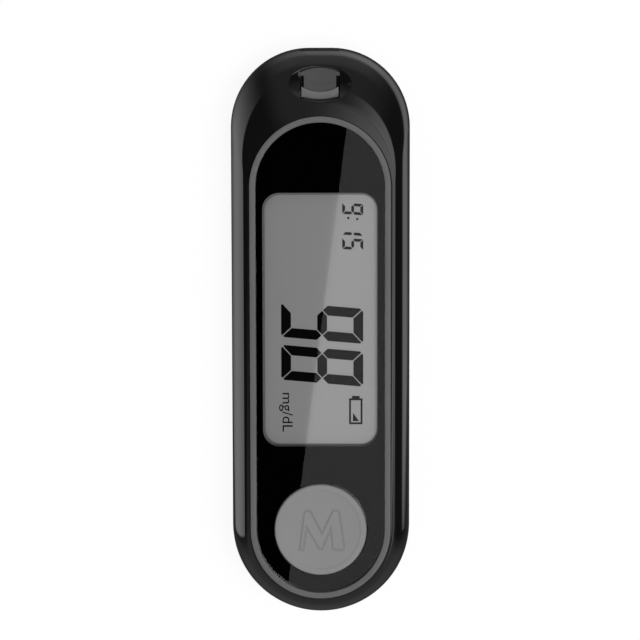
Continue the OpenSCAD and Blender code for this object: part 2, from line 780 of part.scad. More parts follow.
module ejector_slider() {
    color([0.4, 0.4, 0.41]) union() {
        difference() {
            translate([0, 0, slider_bottom]) linear_extrude(slider_top - slider_bottom) slider_plan(0);
            dish_spindle(0);
        }
        for (side = [0, 1]) mirror([side, 0, 0])
            translate([slider_width / 2 - leg_thickness, leg_y, carrier_bottom])
                cube([leg_thickness, leg_length, slider_bottom + 0.3 - carrier_bottom]);
        translate([-carrier_width / 2, connector_back - 2, carrier_bottom])
            cube([carrier_width, carrier_end - connector_back + 2, carrier_thickness]);
        translate([-carrier_width / 2, arm_start, carrier_bottom])
            cube([carrier_width, connector_back - 1 - arm_start, carrier_thickness]);
        translate([0, arm_start, carrier_bottom])
            cube([spring_offset + spring_diameter / 2, arm_thickness, carrier_thickness]);
        translate([spring_offset - spring_diameter / 2, arm_start, spring_z - spring_diameter / 2])
            cube([spring_diameter, arm_thickness, spring_diameter]);
        translate([-finger_width / 2, finger_y, slot_z + 0.15])
            cube([finger_width, finger_length, carrier_bottom + 0.1 - slot_z]);
    }
}

module ejector_guide() {
    color([0.27, 0.27, 0.28]) difference() {
        union() {
            translate([-flange_half, flange_start, guide_bottom])
                cube([2 * flange_half, flange_end - flange_start, guide_flange]);
            translate([0, 0, guide_bottom + guide_flange / 2]) linear_extrude(face_height - guide_bottom)
                track_plan(-trim_fit);
        }
        dish_spindle(0);
        translate([-half_width, slider_y - half_width, ramp_top]) cube([body_width, body_width, face_height]);
        for (side = [0, 1]) mirror([side, 0, 0])
            translate([ramp_half, leg_y - 0.15, guide_bottom - cut])
                cube([opening_half - ramp_half + 0.05, leg_length + slider_travel + 0.3, face_height]);
    }
}

// Helical wire: rings of points along the spring's axis, joined into a closed tube
module ejector_spring() {
    radius = (spring_diameter - spring_wire) / 2;
    steps = spring_turns * turn_steps;
    run = spring_length - spring_wire - 0.1;
    points = [for (i = [0 : steps]) for (j = [0 : wire_sides - 1]) let(
        a = 360 * i / turn_steps,
        b = 360 * j / wire_sides,
        reach = radius + spring_wire / 2 * cos(b)
    ) [reach * cos(a), run * i / steps + spring_wire / 2 * sin(b), reach * sin(a)]];
    faces = concat(
        [[for (j = [0 : wire_sides - 1]) j]],
        [[for (j = [wire_sides - 1 : -1 : 0]) steps * wire_sides + j]],
        [for (i = [0 : steps - 1]) for (j = [0 : wire_sides - 1]) let(
            here = i * wire_sides + j,
            next = i * wire_sides + (j + 1) % wire_sides
        ) each [[here, here + wire_sides, next + wire_sides], [here, next + wire_sides, next]]]
    );
    color([0.7, 0.7, 0.72]) translate([spring_offset, spring_start + spring_wire / 2 + 0.05, spring_z])
        polyhedron(points = points, faces = faces);
}

module lcd_front_glass() {
    color([0.6, 0.63, 0.6]) translate([-glass_width / 2, glass_y - glass_length / 2, rear_glass_top])
        cube([glass_width, glass_length, glass_thickness]);
}

module lcd_rear_glass() {
    color([0.55, 0.58, 0.55]) translate([-glass_width / 2, glass_y - glass_length / 2, reflector_top])
        cube([glass_width, glass_length - glass_ledge, glass_thickness]);
}

module lcd_reflector() {
    color([0.8, 0.8, 0.78]) translate([-glass_width / 2, glass_y - glass_length / 2, reflector_bottom])
        cube([glass_width, glass_length - glass_ledge, reflector_thickness]);
}

module lcd_gasket() {
    inner = window_step + 0.1;
    outer = inner + gasket_width;
    color([0.15, 0.15, 0.15]) translate([0, window_y, glass_top])
        linear_extrude(gasket_thickness) difference() {
            rounded_window(window_width + 2 * outer, window_length + 2 * outer, window_radius + outer);
            rounded_window(window_width + 2 * inner, window_length + 2 * inner, window_radius + inner);
        }
}

module lcd_frame() {
    shelf_width = glass_width - 2 * frame_shelf;
    shelf_length = glass_length - 2 * frame_shelf;
    color([0.2, 0.2, 0.21]) difference() {
        translate([-frame_width / 2, glass_y - frame_length / 2, board_top])
            cube([frame_width, frame_length, glass_top - 0.2 - board_top]);
        translate([-glass_width / 2 - glass_gap, glass_y - glass_length / 2 - glass_gap, reflector_bottom])
            cube([glass_width + 2 * glass_gap, glass_length + 2 * glass_gap, face_height]);
        translate([-shelf_width / 2, glass_y - shelf_length / 2, board_top - cut])
            cube([shelf_width, shelf_length, face_height]);
        translate([-shelf_width / 2, glass_end - zebra_width - 0.4, board_top - cut])
            cube([shelf_width, zebra_width + 0.4, face_height]);
    }
}

module zebra_strip() {
    color([0.35, 0.3, 0.33])
        translate([-glass_width / 2 + frame_shelf + 0.2, glass_end - zebra_width - 0.2, board_top])
            cube([glass_width - 2 * frame_shelf - 0.4, zebra_width, rear_glass_top - board_top]);
}

module main_board() {
    color([0.06, 0.3, 0.16]) translate([0, 0, board_bottom]) linear_extrude(board_thickness) difference() {
        intersection() {
            body_outline(half_width - board_half);
            translate([-half_width, board_start]) square([body_width, board_end - board_start]);
        }
        for (place = housing_screw_places) translate(place) circle(r = boss_radius + boss_gap);
        for (place = board_screw_places) translate(place) circle(r = pilot_radius);
    }
}

// Flat chip on the board with its row of leads on both sides
module chip(width, length, height, leads) {
    translate([-width / 2, -length / 2, 0.1]) cube([width, length, height - 0.1]);
    pitch = length / (leads + 1);
    for (side = [-1, 1]) for (i = [1 : leads])
        translate([side * (width / 2 + lead_out) - lead_length / 2, pitch * i - length / 2 - pitch / 4, 0])
            cube([lead_length, pitch / 2, lead_height]);
}

module processor_chip() {
    color([0.08, 0.08, 0.08]) translate([0, processor_y, board_top])
        chip(processor_side, processor_side, processor_height, processor_leads);
}

module analog_chip() {
    color([0.1, 0.1, 0.1]) translate([analog_side - nose_screw_x, frame_end + 2 * analog_side, board_top])
        rotate([0, 0, 90]) chip(analog_side, analog_side, analog_height, analog_leads);
}

module crystal_can() {
    radius = crystal_diameter / 2;
    color([0.78, 0.78, 0.76]) translate([
        processor_side / 2 + radius + 1.6, processor_y - crystal_length / 2 + 1, board_top + radius
    ]) rotate([-90, 0, 0]) union() {
        cylinder(r = radius, h = crystal_length);
        for (x = [-radius / 2.5, radius / 2.5]) translate([x - 0.15, -0.15, -1.2]) cube([0.3, 0.3, 1.3]);
        translate([-0.8 * radius, 0.6 * radius, 1])
            cube([1.6 * radius, 0.4 * radius, crystal_length - 2]);
    }
}

module passive_parts() {
    color([0.72, 0.6, 0.42]) for (column = [-2 : 2]) for (row = [0 : 3])
        translate([column * passive_pitch - 0.3 * passive_length, passive_y + row * passive_pitch, board_top])
            cube([0.6 * passive_length, passive_length, 0.3 * passive_length]);
}

module buzzer() {
    color([0.75, 0.62, 0.25]) translate([0, buzzer_y, board_top]) union() {
        cylinder(r = buzzer_diameter / 2, h = 0.6 * buzzer_height);
        cylinder(r = 0.36 * buzzer_diameter, h = buzzer_height);
    }
}

module coin_cell() {
    color([0.8, 0.8, 0.78]) translate([0, coin_y, coin_bottom]) union() {
        cylinder(r = coin_radius, h = coin_height - 0.4);
        cylinder(r = coin_radius - 1.4, h = coin_height);
    }
}

// Leaf that stands down from the board and bears on the coin cell's side
module battery_contact_positive() {
    leaf = positive_leaf;
    step = positive_step;
    color([0.75, 0.72, 0.6]) translate([-positive_width / 2, coin_y + coin_radius, 0]) rotate([90, 0, 90])
        linear_extrude(positive_width) polygon([
            [0, positive_low], [leaf, positive_low], [leaf + step, coin_top - 0.3],
            [leaf + step, board_bottom - leaf], [positive_foot, board_bottom - leaf],
            [positive_foot, board_bottom], [step, board_bottom], [step, coin_top - 0.3],
            [0, coin_bottom + coin_height / 2]
        ]);
}

// Leaf under the board that dips down to the coin cell's cap
module battery_contact_negative() {
    leaf = negative_leaf;
    root = -0.7 * coin_radius;
    bend = -0.4 * coin_radius;
    tip = 0.3 * coin_radius;
    color([0.75, 0.72, 0.6]) translate([-negative_width / 2, coin_y, 0]) rotate([90, 0, 90])
        linear_extrude(negative_width) polygon([
            [root, board_bottom], [root, board_bottom - leaf], [bend, board_bottom - leaf],
            [-3 * leaf, coin_top], [3 * leaf, coin_top], [tip, coin_top + 0.5], [tip, coin_top + 0.5 + leaf],
            [2.5 * leaf, coin_top + leaf], [-2.5 * leaf, coin_top + leaf], [bend + leaf, board_bottom]
        ]);
}

module strip_connector() {
    groove = contact_width + 0.2;
    color([0.85, 0.84, 0.8]) difference() {
        translate([-connector_width / 2, connector_back, board_top])
            cube([connector_width, connector_length, connector_height]);
        translate([-slot_width / 2, channel_back, slot_z])
            cube([slot_width, connector_length, slot_height]);
        translate([-finger_width / 2 - 0.2, channel_back, slot_z])
            cube([finger_width + 0.4, finger_length + slider_travel + 0.5, connector_height]);
        for (i = [0 : contact_count - 1])
            translate([
                contact_pitch * (i - (contact_count - 1) / 2) - groove / 2, connector_back - cut, contact_low
            ]) cube([groove, groove_end - connector_back, slot_z + 0.01 - contact_low]);
    }
}

// Leaves that rise from the board, dip below the slot and end in a hump that bears on the strip
module strip_contacts() {
    low = contact_low;
    sheet = contact_sheet;
    crest = slot_z + sheet;
    end_y = contact_hump_y + contact_lip;
    color([0.85, 0.7, 0.35]) for (i = [0 : contact_count - 1])
        translate([contact_pitch * (i - (contact_count - 1) / 2) - contact_width / 2, 0, 0])
            rotate([90, 0, 90]) linear_extrude(contact_width) polygon([
                [connector_back - contact_tail, board_top], [contact_root, board_top], [contact_root, low],
                [contact_hump_y - contact_slope, low], [contact_hump_y, crest], [end_y, low + contact_dip],
                [end_y, low + contact_dip + sheet], [contact_hump_y, crest + sheet],
                [contact_hump_y - contact_slope, low + sheet], [contact_root - sheet, low + sheet],
                [contact_root - sheet, board_top + sheet], [connector_back - contact_tail, board_top + sheet]
            ]);
}

module board_screws() {
    color([0.6, 0.6, 0.62]) for (place = board_screw_places) translate([place[0], place[1], 0]) {
        translate([0, 0, board_top]) cylinder(r = head_radius, h = head_height);
        translate([0, 0, floor_thickness + 0.6]) cylinder(r = screw_radius, h = board_top - floor_thickness);
    }
}

module housing_screws() {
    color([0.6, 0.6, 0.62]) for (place = housing_screw_places) translate([place[0], place[1], 0]) {
        translate([0, 0, counterbore - head_height]) cylinder(r = head_radius, h = head_height);
        translate([0, 0, counterbore - 0.1])
            cylinder(r = screw_radius, h = face_underside - 1.4 - counterbore);
    }
}

front_cover();
rear_cover();
battery_door();
trim_ring();
display_lens();
lens_mask();
mode_button();
switch_body();
switch_plunger();
ejector_slider();
ejector_guide();
ejector_spring();
lcd_front_glass();
lcd_rear_glass();
lcd_reflector();
lcd_gasket();
lcd_frame();
zebra_strip();
main_board();
processor_chip();
analog_chip();
crystal_can();
passive_parts();
buzzer();
coin_cell();
battery_contact_positive();
battery_contact_negative();
strip_connector();
strip_contacts();
board_screws();
housing_screws();
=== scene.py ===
"""Looks of a slim handheld blood glucose meter that lies on its back.

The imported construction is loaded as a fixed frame. Each sub-assembly is a class that builds its pieces
round that frame and dresses them. Everything is in metres: X across the meter, Y towards the strip end,
Z up out of the face.
"""
import logging
import math
from dataclasses import dataclass
from enum import Enum
from typing import ClassVar, Iterable, Optional, Sequence

import bmesh
import bpy
import numpy as np
from mathutils import Matrix, Vector


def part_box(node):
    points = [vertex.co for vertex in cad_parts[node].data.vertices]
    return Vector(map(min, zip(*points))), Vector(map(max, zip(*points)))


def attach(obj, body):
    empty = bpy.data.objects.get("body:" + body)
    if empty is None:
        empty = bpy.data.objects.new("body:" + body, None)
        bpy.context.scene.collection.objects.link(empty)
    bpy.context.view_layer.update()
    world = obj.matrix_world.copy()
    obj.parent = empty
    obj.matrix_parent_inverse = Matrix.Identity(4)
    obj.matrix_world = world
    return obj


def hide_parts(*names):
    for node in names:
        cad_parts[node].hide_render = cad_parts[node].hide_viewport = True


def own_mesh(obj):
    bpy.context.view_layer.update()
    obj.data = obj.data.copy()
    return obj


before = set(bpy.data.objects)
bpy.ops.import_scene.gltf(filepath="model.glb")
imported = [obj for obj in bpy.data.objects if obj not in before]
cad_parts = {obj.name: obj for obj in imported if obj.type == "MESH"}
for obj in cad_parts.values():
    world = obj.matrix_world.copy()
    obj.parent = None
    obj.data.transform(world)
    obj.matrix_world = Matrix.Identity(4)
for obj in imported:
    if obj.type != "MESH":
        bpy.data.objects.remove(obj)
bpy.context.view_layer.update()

LOG = logging.getLogger("glucose_meter")
MM = 0.001

Point2 = tuple[float, float]
Point3 = tuple[float, float, float]
Face = tuple[int, ...]

# Noise of the finishes: grains across one cloud, octaves, and the middle of its range that is spread out
CLOUD_GRAINS = 60
CLOUD_DETAIL = 3.0
GRAIN_DETAIL = 2.0
NOISE_MIDDLE = (0.3, 0.7)

# Pointiness at which an edge starts to look worn and is worn fully, and the tone that it wears to
WORN_EDGE = (0.52, 0.62)
WORN_TONE = (0.5, 0.5, 0.5, 1.0)

# Sides of the holes round the button, steps of a round corner, and directions of the points on a round edge
HOLE_SIDES = 144
CORNER_STEPS = 16
EDGE_ANGLES = (22.5, 45, 67.5, 90)

# Packed triangles: the gap over which they are joined, and the bend in degrees that counts as flat
MERGE_DISTANCE = 0.0005 * MM
FLAT_ANGLE = 0.2

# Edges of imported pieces: the smallest bend that is rounded, its steps, and the bend that is shaded sharp
EDGE_BEND = 35.0
EDGE_SEGMENTS = 2
EDGE_CREASE = 40.0

# The points of one screw lie closer to each other in plan than this
SCREW_REACH = 3 * MM

# The height given where the dish isn't over a point, and a length too small to matter
NO_FLOOR = 1.0
TINY = 1e-12


class Body(Enum):
    """The rigid bodies that the pieces built here ride on."""

    METER = "meter"
    BUTTON = "button"
    EJECTOR = "ejector"


# ------------------------------------------------------------------------------
# Finishes
# ------------------------------------------------------------------------------


@dataclass(frozen=True)
class Finish:
    """A procedural finish: fine grain, slow variation and lighter worn edges on a plain shader.

    Grain and variation sizes are in metres on the piece; depth is the height of the grain in metres.
    """

    name: str
    colour: tuple[float, float, float]
    roughness: float = 0.5
    metallic: float = 0.0
    grain_size: float = 0.25 * MM
    grain_depth: float = 0.004 * MM
    variation: float = 0.06
    roughness_variation: float = 0.04
    wear: float = 0.0
    specular: float = 0.5
    ior: float = 1.5
    transmission: float = 0.0
    streak: float = 1.0

    def build(self) -> bpy.types.Material:
        """Makes the node material.

        Returns:
            The material, which reads Object coordinates only.
        """
        material = bpy.data.materials.new(self.name)
        material.use_nodes = True
        nodes = Nodes(material.node_tree)
        shader = nodes.tree.nodes["Principled BSDF"]
        shader.inputs["Metallic"].default_value = self.metallic
        shader.inputs["IOR"].default_value = self.ior
        shader.inputs["Specular IOR Level"].default_value = self.specular
        shader.inputs["Transmission Weight"].default_value = self.transmission
        place = nodes.object_place((1.0, self.streak, 1.0))
        cloud = nodes.noise(place, 1.0 / (CLOUD_GRAINS * self.grain_size), CLOUD_DETAIL)
        grain = nodes.noise(place, 1.0 / self.grain_size, GRAIN_DETAIL)
        tone = nodes.remap(cloud, 1.0 - self.variation, 1.0 + self.variation)
        colour = nodes.tint(self.colour, tone)
        if self.wear > 0:
            colour = nodes.worn(colour, self.wear)
        nodes.link(colour, shader.inputs["Base Color"])
        smoothest = max(0.0, self.roughness - self.roughness_variation)
        rough = nodes.remap(cloud, smoothest, self.roughness + self.roughness_variation)
        nodes.link(rough, shader.inputs["Roughness"])
        if self.grain_depth > 0:
            nodes.link(nodes.bump(grain, self.grain_depth), shader.inputs["Normal"])
        return material


class Nodes:
    """Short calls that add shader nodes to one tree."""

    def __init__(self, tree: bpy.types.NodeTree) -> None:
        """Keeps the tree that the nodes go into."""
        self.tree = tree

    def new(self, kind: str, **settings: object) -> bpy.types.Node:
        """Adds a node of that kind with the given properties."""
        node = self.tree.nodes.new(kind)
        for key, value in settings.items():
            setattr(node, key, value)
        return node

    def link(self, source: bpy.types.NodeSocket, target: bpy.types.NodeSocket) -> None:
        """Joins two sockets."""
        self.tree.links.new(source, target)

    def math(self, operation: str, a: object, b: object = 0.0) -> bpy.types.NodeSocket:
        """The result of one math step on sockets or plain numbers."""
        node = self.new("ShaderNodeMath", operation=operation)
        for socket, value in zip(node.inputs, (a, b)):
            if isinstance(value, bpy.types.NodeSocket):
                self.link(value, socket)
            else:
                socket.default_value = value
        return node.outputs[0]

    def between(self, low: object, high: object, share: bpy.types.NodeSocket) -> bpy.types.NodeSocket:
        """Low where the share is 0 and high where it is 1."""
        kept = self.math("MULTIPLY", self.math("SUBTRACT", 1.0, share), low)
        return self.math("ADD", kept, self.math("MULTIPLY", share, high))

    def step(self, value: bpy.types.NodeSocket, start: float, end: float) -> bpy.types.NodeSocket:
        """A smooth step from 0 at start to 1 at end."""
        node = self.new("ShaderNodeMapRange", interpolation_type="SMOOTHSTEP")
        node.inputs["From Min"].default_value = start
        node.inputs["From Max"].default_value = end
        self.link(value, node.inputs["Value"])
        return node.outputs["Result"]

    def object_place(self, scale: Point3) -> bpy.types.NodeSocket:
        """Object coordinates, scaled along each axis."""
        where = self.new("ShaderNodeTexCoord")
        mapping = self.new("ShaderNodeMapping")
        mapping.inputs["Scale"].default_value = scale
        self.link(where.outputs["Object"], mapping.inputs["Vector"])
        return mapping.outputs["Vector"]

    def noise(self, place: bpy.types.NodeSocket, scale: float, detail: float) -> bpy.types.NodeSocket:
        """Noise from 0 to 1, with scale in cycles for each metre."""
        node = self.new("ShaderNodeTexNoise")
        node.inputs["Scale"].default_value = scale
        node.inputs["Detail"].default_value = detail
        self.link(place, node.inputs["Vector"])
        return node.outputs["Fac"]

    def remap(self, value: bpy.types.NodeSocket, low: float, high: float) -> bpy.types.NodeSocket:
        """Spreads the middle of a noise over low to high."""
        node = self.new("ShaderNodeMapRange")
        node.inputs["From Min"].default_value = NOISE_MIDDLE[0]
        node.inputs["From Max"].default_value = NOISE_MIDDLE[1]
        node.inputs["To Min"].default_value = low
        node.inputs["To Max"].default_value = high
        self.link(value, node.inputs["Value"])
        return node.outputs["Result"]

    def tint(self, colour: Point3, tone: bpy.types.NodeSocket) -> bpy.types.NodeSocket:
        """The colour times a tone."""
        node = self.new("ShaderNodeVectorMath", operation="SCALE")
        node.inputs[0].default_value = colour
        self.link(tone, node.inputs["Scale"])
        return node.outputs["Vector"]

    def worn(self, colour: bpy.types.NodeSocket, wear: float) -> bpy.types.NodeSocket:
        """The colour, rubbed a little lighter along convex edges."""
        edge = self.new("ShaderNodeNewGeometry")
        spread = self.new("ShaderNodeMapRange")
        spread.inputs["From Min"].default_value = WORN_EDGE[0]
        spread.inputs["From Max"].default_value = WORN_EDGE[1]
        spread.inputs["To Max"].default_value = wear
        self.link(edge.outputs["Pointiness"], spread.inputs["Value"])
        mix = self.new("ShaderNodeMix", data_type="RGBA")
        mix.inputs[7].default_value = WORN_TONE
        self.link(spread.outputs["Result"], mix.inputs[0])
        self.link(colour, mix.inputs[6])
        return mix.outputs[2]

    def bump(self, height: bpy.types.NodeSocket, depth: float) -> bpy.types.NodeSocket:
        """A bump normal from a height, with depth in metres."""
        node = self.new("ShaderNodeBump")
        node.inputs["Strength"].default_value = 1.0
        node.inputs["Distance"].default_value = depth
        self.link(height, node.inputs["Height"])
        return node.outputs["Normal"]


GLOSS_BLACK = Finish(
    "gloss_black_shell", (0.003, 0.003, 0.0031), roughness=0.035, grain_size=0.6 * MM, grain_depth=0.0,
    roughness_variation=0.012,
)
MATTE_BLACK = Finish(
    "matte_black_back", (0.012, 0.012, 0.0125), roughness=0.42, grain_size=0.16 * MM, grain_depth=0.006 * MM,
    wear=0.05,
)
TRIM_GREY = Finish("satin_grey_trim", (0.117, 0.117, 0.119), roughness=0.4, grain_size=0.12 * MM, wear=0.1)
CLEAR_LENS = Finish(
    "clear_lens", (0.92, 0.92, 0.92), roughness=0.0, grain_depth=0.0, transmission=1.0, ior=1.5,
    variation=0.0, roughness_variation=0.0,
)
MASK_BLACK = Finish("black_print", (0.0006, 0.0006, 0.0006), roughness=0.6, specular=0.0, grain_depth=0.0)
BUTTON_GREY = Finish(
    "satin_grey_button", (0.256, 0.256, 0.258), roughness=0.5, grain_size=0.1 * MM, grain_depth=0.0015 * MM,
    variation=0.02,
)
SLIDER_GREY = Finish(
    "satin_dark_grey_slider", (0.14, 0.14, 0.142), roughness=0.5, grain_size=0.1 * MM, wear=0.08
)
GUIDE_GREY = Finish("matte_charcoal_guide", (0.07, 0.07, 0.071), roughness=0.6, grain_size=0.1 * MM)
FRAME_GREY = Finish("matte_dark_grey_frame", (0.05, 0.05, 0.052), roughness=0.55)
FOAM = Finish("black_foam", (0.01, 0.01, 0.01), roughness=0.95, grain_size=0.12 * MM, grain_depth=0.03 * MM)
# Display glass: a darker grey that shows as a band round the sheet, partly the glass's own edge and partly
# painted shade of the window's inner wall
GLASS_AND_PAINTED_SHADE = Finish("display_glass_and_painted_edge_shade", (0.13, 0.13, 0.128), roughness=0.3, variation=0.02)
DISPLAY_GREY = Finish(
    "polarised_display", (0.375, 0.375, 0.373), roughness=0.02, grain_size=0.3 * MM, grain_depth=0.0, ior=3.4,
    variation=0.012, roughness_variation=0.004,
)
INK = Finish(
    "display_ink", (0.003, 0.003, 0.003), roughness=0.6, specular=0.0, grain_depth=0.0, variation=0.05
)
REFLECTOR = Finish("diffuse_reflector", (0.7, 0.7, 0.68), roughness=0.3, metallic=0.9)
SPRING_STEEL = Finish("drawn_spring_wire", (0.6, 0.6, 0.62), roughness=0.25, metallic=1.0)
SCREW_STEEL = Finish(
    "zinc_plated_screw", (0.45, 0.45, 0.47), roughness=0.32, metallic=1.0, grain_size=0.08 * MM, wear=0.2
)
CELL_STEEL = Finish(
    "brushed_cell_can", (0.62, 0.62, 0.6), roughness=0.28, metallic=1.0, grain_size=0.09 * MM, streak=0.06,
    grain_depth=0.003 * MM,
)
CONTACT_METAL = Finish("plated_contact", (0.72, 0.66, 0.5), roughness=0.25, metallic=1.0)
BRASS = Finish("plain_brass", (0.7, 0.5, 0.2), roughness=0.3, metallic=1.0)
ZEBRA = Finish("layered_elastomer", (0.12, 0.1, 0.12), roughness=0.7, grain_size=0.1 * MM, streak=0.05)
BOARD_GREEN = Finish("solder_mask", (0.01, 0.11, 0.045), roughness=0.35, grain_size=0.5 * MM, variation=0.12)
CHIP_BLACK = Finish("moulded_package", (0.015, 0.015, 0.015), roughness=0.6, grain_size=0.08 * MM)
CERAMIC = Finish("ceramic_part", (0.4, 0.28, 0.16), roughness=0.5, variation=0.15)
IVORY = Finish("moulded_ivory", (0.65, 0.62, 0.52), roughness=0.5)


# ------------------------------------------------------------------------------
# Plan: sizes that the pieces share, read from the frame
# ------------------------------------------------------------------------------


@dataclass(frozen=True)
class Plan:
    """Shared sizes in metres. What the frame's boxes give is read from them."""

    half_width: float
    tip_y: float
    end_y: float
    parting_z: float
    face_z: float
    ring_half: float
    ring_top: float
    face_nose_y: float
    seat_z: float
    lens_half: float
    lens_bottom: float
    lens_top: float
    nose_radius: float = 14.9 * MM
    fullness: float = 2.13
    trim_fit: float = 0.04 * MM
    land: float = 0.3 * MM
    wall: float = 1.5 * MM
    window_border: float = 1.22 * MM
    window_to_button: float = 7.16 * MM
    window_to_ring: float = 14.5 * MM
    window_radius: float = 3.2 * MM
    button_radius: float = 17.55 / 2 * MM
    button_gap: float = 0.15 * MM

    @classmethod
    def from_frame(cls) -> "Plan":
        """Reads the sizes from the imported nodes' boxes."""
        shell_low, shell_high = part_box("front_cover")
        _, ring_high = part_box("trim_ring")
        lens_low, lens_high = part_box("display_lens")
        mask_low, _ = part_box("lens_mask")
        return cls(
            half_width=shell_high.x,
            tip_y=shell_high.y,
            end_y=shell_low.y + shell_high.x,
            parting_z=shell_low.z,
            face_z=shell_high.z,
            ring_half=ring_high.x,
            ring_top=ring_high.z,
            face_nose_y=ring_high.y - ring_high.x,
            seat_z=mask_low.z,
            lens_half=lens_high.x,
            lens_bottom=lens_low.z,
            lens_top=lens_high.z,
        )

    @property
    def face_half(self) -> float:
        """Half the width of the recess that the trim ring and the lens lie in."""
        return self.ring_half + self.trim_fit

    @property
    def land_half(self) -> float:
        """Half the width of the flat land round that recess."""
        return self.face_half + self.land

    @property
    def window_half(self) -> float:
        """Half the width of the display window."""
        return self.lens_half - self.window_border

    @property
    def window_start(self) -> float:
        """The window's end next to the button."""
        return self.end_y + self.button_radius + self.window_to_button

    @property
    def window_end(self) -> float:
        """The window's end next to the nose."""
        return self.face_nose_y + self.face_half - self.window_to_ring

    @property
    def button_hole(self) -> float:
        """Radius of the hole round the button."""
        return self.button_radius + self.button_gap


@dataclass(frozen=True)
class Dish:
    """The thumb dish in the nose: a spindle laid across the slope and tilted with it."""

    plan: Plan
    setback: float = 6.35 * MM
    length: float = 6.7 * MM
    width: float = 13.4 * MM
    depth: float = 1.1 * MM

    def flank(self, y: float) -> float:
        """Height of the flank over the middle line at y."""
        plan = self.plan
        start = plan.face_nose_y + plan.land_half
        share = min(1.0, max(0.0, (y - start) / (plan.tip_y - start)))
        rise = (1 - share ** plan.fullness) ** (1 / plan.fullness)
        return plan.parting_z + (plan.face_z - plan.parting_z) * rise

    @property
    def middle(self) -> float:
        """Y of the dish's middle."""
        return self.plan.tip_y - self.setback

    @property
    def ends(self) -> tuple[float, float]:
        """Heights of the flank at the dish's two ends."""
        return self.flank(self.middle - self.length / 2), self.flank(self.middle + self.length / 2)

    @property
    def cross_radius(self) -> float:
        """Radius of the scoop at its middle, seen from the side."""
        near, far = self.ends
        chord = math.hypot(self.length, near - far)
        return ((chord / 2) ** 2 + self.depth**2) / (2 * self.depth)

    @property
    def tilt(self) -> float:
        """Slope of the line across the dish's ends, in radians."""
        near, far = self.ends
        return math.atan2(near - far, self.length)

    @property
    def long_radius(self) -> float:
        """Radius of the scoop across the meter."""
        near, far = self.ends
        full = self.depth + (self.flank(self.middle) - (near + far) / 2) * math.cos(self.tilt)
        return ((self.width / 2) ** 2 + full**2) / (2 * full)

    @property
    def axis(self) -> Point2:
        """Y and Z of the spindle's axis."""
        near, far = self.ends
        lift = self.cross_radius - self.depth
        return self.middle + lift * math.sin(self.tilt), (near + far) / 2 + lift * math.cos(self.tilt)

    def floor(self, x: np.ndarray, y: np.ndarray) -> np.ndarray:
        """Height of the scoop's lower side over points in plan.

        Args:
            x: Places across the meter.
            y: Places along the meter.

        Returns:
            Heights, and a large number where the spindle isn't over the point.
        """
        axis_y, axis_z = self.axis
        cross, long = self.cross_radius, self.long_radius
        reach = cross - long + np.sqrt(np.maximum(long**2 - x**2, 0))
        inside = reach**2 - (y - axis_y) ** 2
        low = axis_z - np.sqrt(np.maximum(inside, 0))
        return np.where((inside > 0) & (reach > 0), low, NO_FLOOR)


# ------------------------------------------------------------------------------
# Mesh helpers
# ------------------------------------------------------------------------------


def make_object(name: str, points: Sequence[Sequence[float]], faces: Iterable[Face]) -> bpy.types.Object:
    """Makes a mesh object in the scene.

    Args:
        name: Name of the piece.
        points: Vertices in metres.
        faces: Faces as vertex numbers.

    Returns:
        The new object, at the origin.
    """
    mesh = bpy.data.meshes.new(name)
    mesh.from_pydata([tuple(point) for point in points], [], [tuple(face) for face in faces])
    mesh.update()
    piece = bpy.data.objects.new(name, mesh)
    bpy.context.scene.collection.objects.link(piece)
    return piece


def arc(centre: Point2, radius: float, start: float, end: float, steps: int) -> list[Point2]:
    """Points along an arc, with angles in degrees, both ends included."""
    angles = [math.radians(start + (end - start) * i / steps) for i in range(steps + 1)]
    return [(centre[0] + radius * math.cos(a), centre[1] + radius * math.sin(a)) for a in angles]


def circle(centre: Point2, radius: float, sides: int) -> list[Point2]:
    """Closed outline of a circle, anticlockwise."""
    return arc(centre, radius, 0, 360 - 360 / sides, sides - 1)


def rectangle(low: Point2, high: Point2) -> list[Point2]:
    """Closed outline of a rectangle, anticlockwise."""
    return [low, (high[0], low[1]), high, (low[0], high[1])]


def stadium(half: float, start_y: float, end_y: float, steps: int) -> list[Point2]:
    """Closed outline of a stadium along Y, anticlockwise."""
    return arc((0, start_y), half, 180, 360, steps) + arc((0, end_y), half, 0, 180, steps)


def rounded_box(low: Point2, high: Point2, radius: float) -> list[Point2]:
    """Closed outline of a rectangle with round corners, anticlockwise."""
    left, bottom = low[0] + radius, low[1] + radius
    right, top = high[0] - radius, high[1] - radius
    steps = CORNER_STEPS
    return (
        arc((left, bottom), radius, 180, 270, steps) + arc((right, bottom), radius, 270, 360, steps)
        + arc((right, top), radius, 0, 90, steps) + arc((left, top), radius, 90, 180, steps)
    )


def stacked(name: str, rings: Sequence[Sequence[Point3]]) -> bpy.types.Object:
    """A closed solid through rings of points, capped at both ends.

    Args:
        name: Name of the piece.
        rings: Rings with the same number of points, anticlockwise seen from above, from the top down.

    Returns:
        The solid.
    """
    count = len(rings[0])
    points = [point for ring in rings for point in ring]
    last = (len(rings) - 1) * count
    faces: list[Face] = [tuple(range(count)), tuple(last + i for i in reversed(range(count)))]
    for k in range(len(rings) - 1):
        for i in range(count):
            here, beside = k * count + i, k * count + (i + 1) % count
            faces.append((here, here + count, beside + count, beside))
    return make_object(name, points, faces)


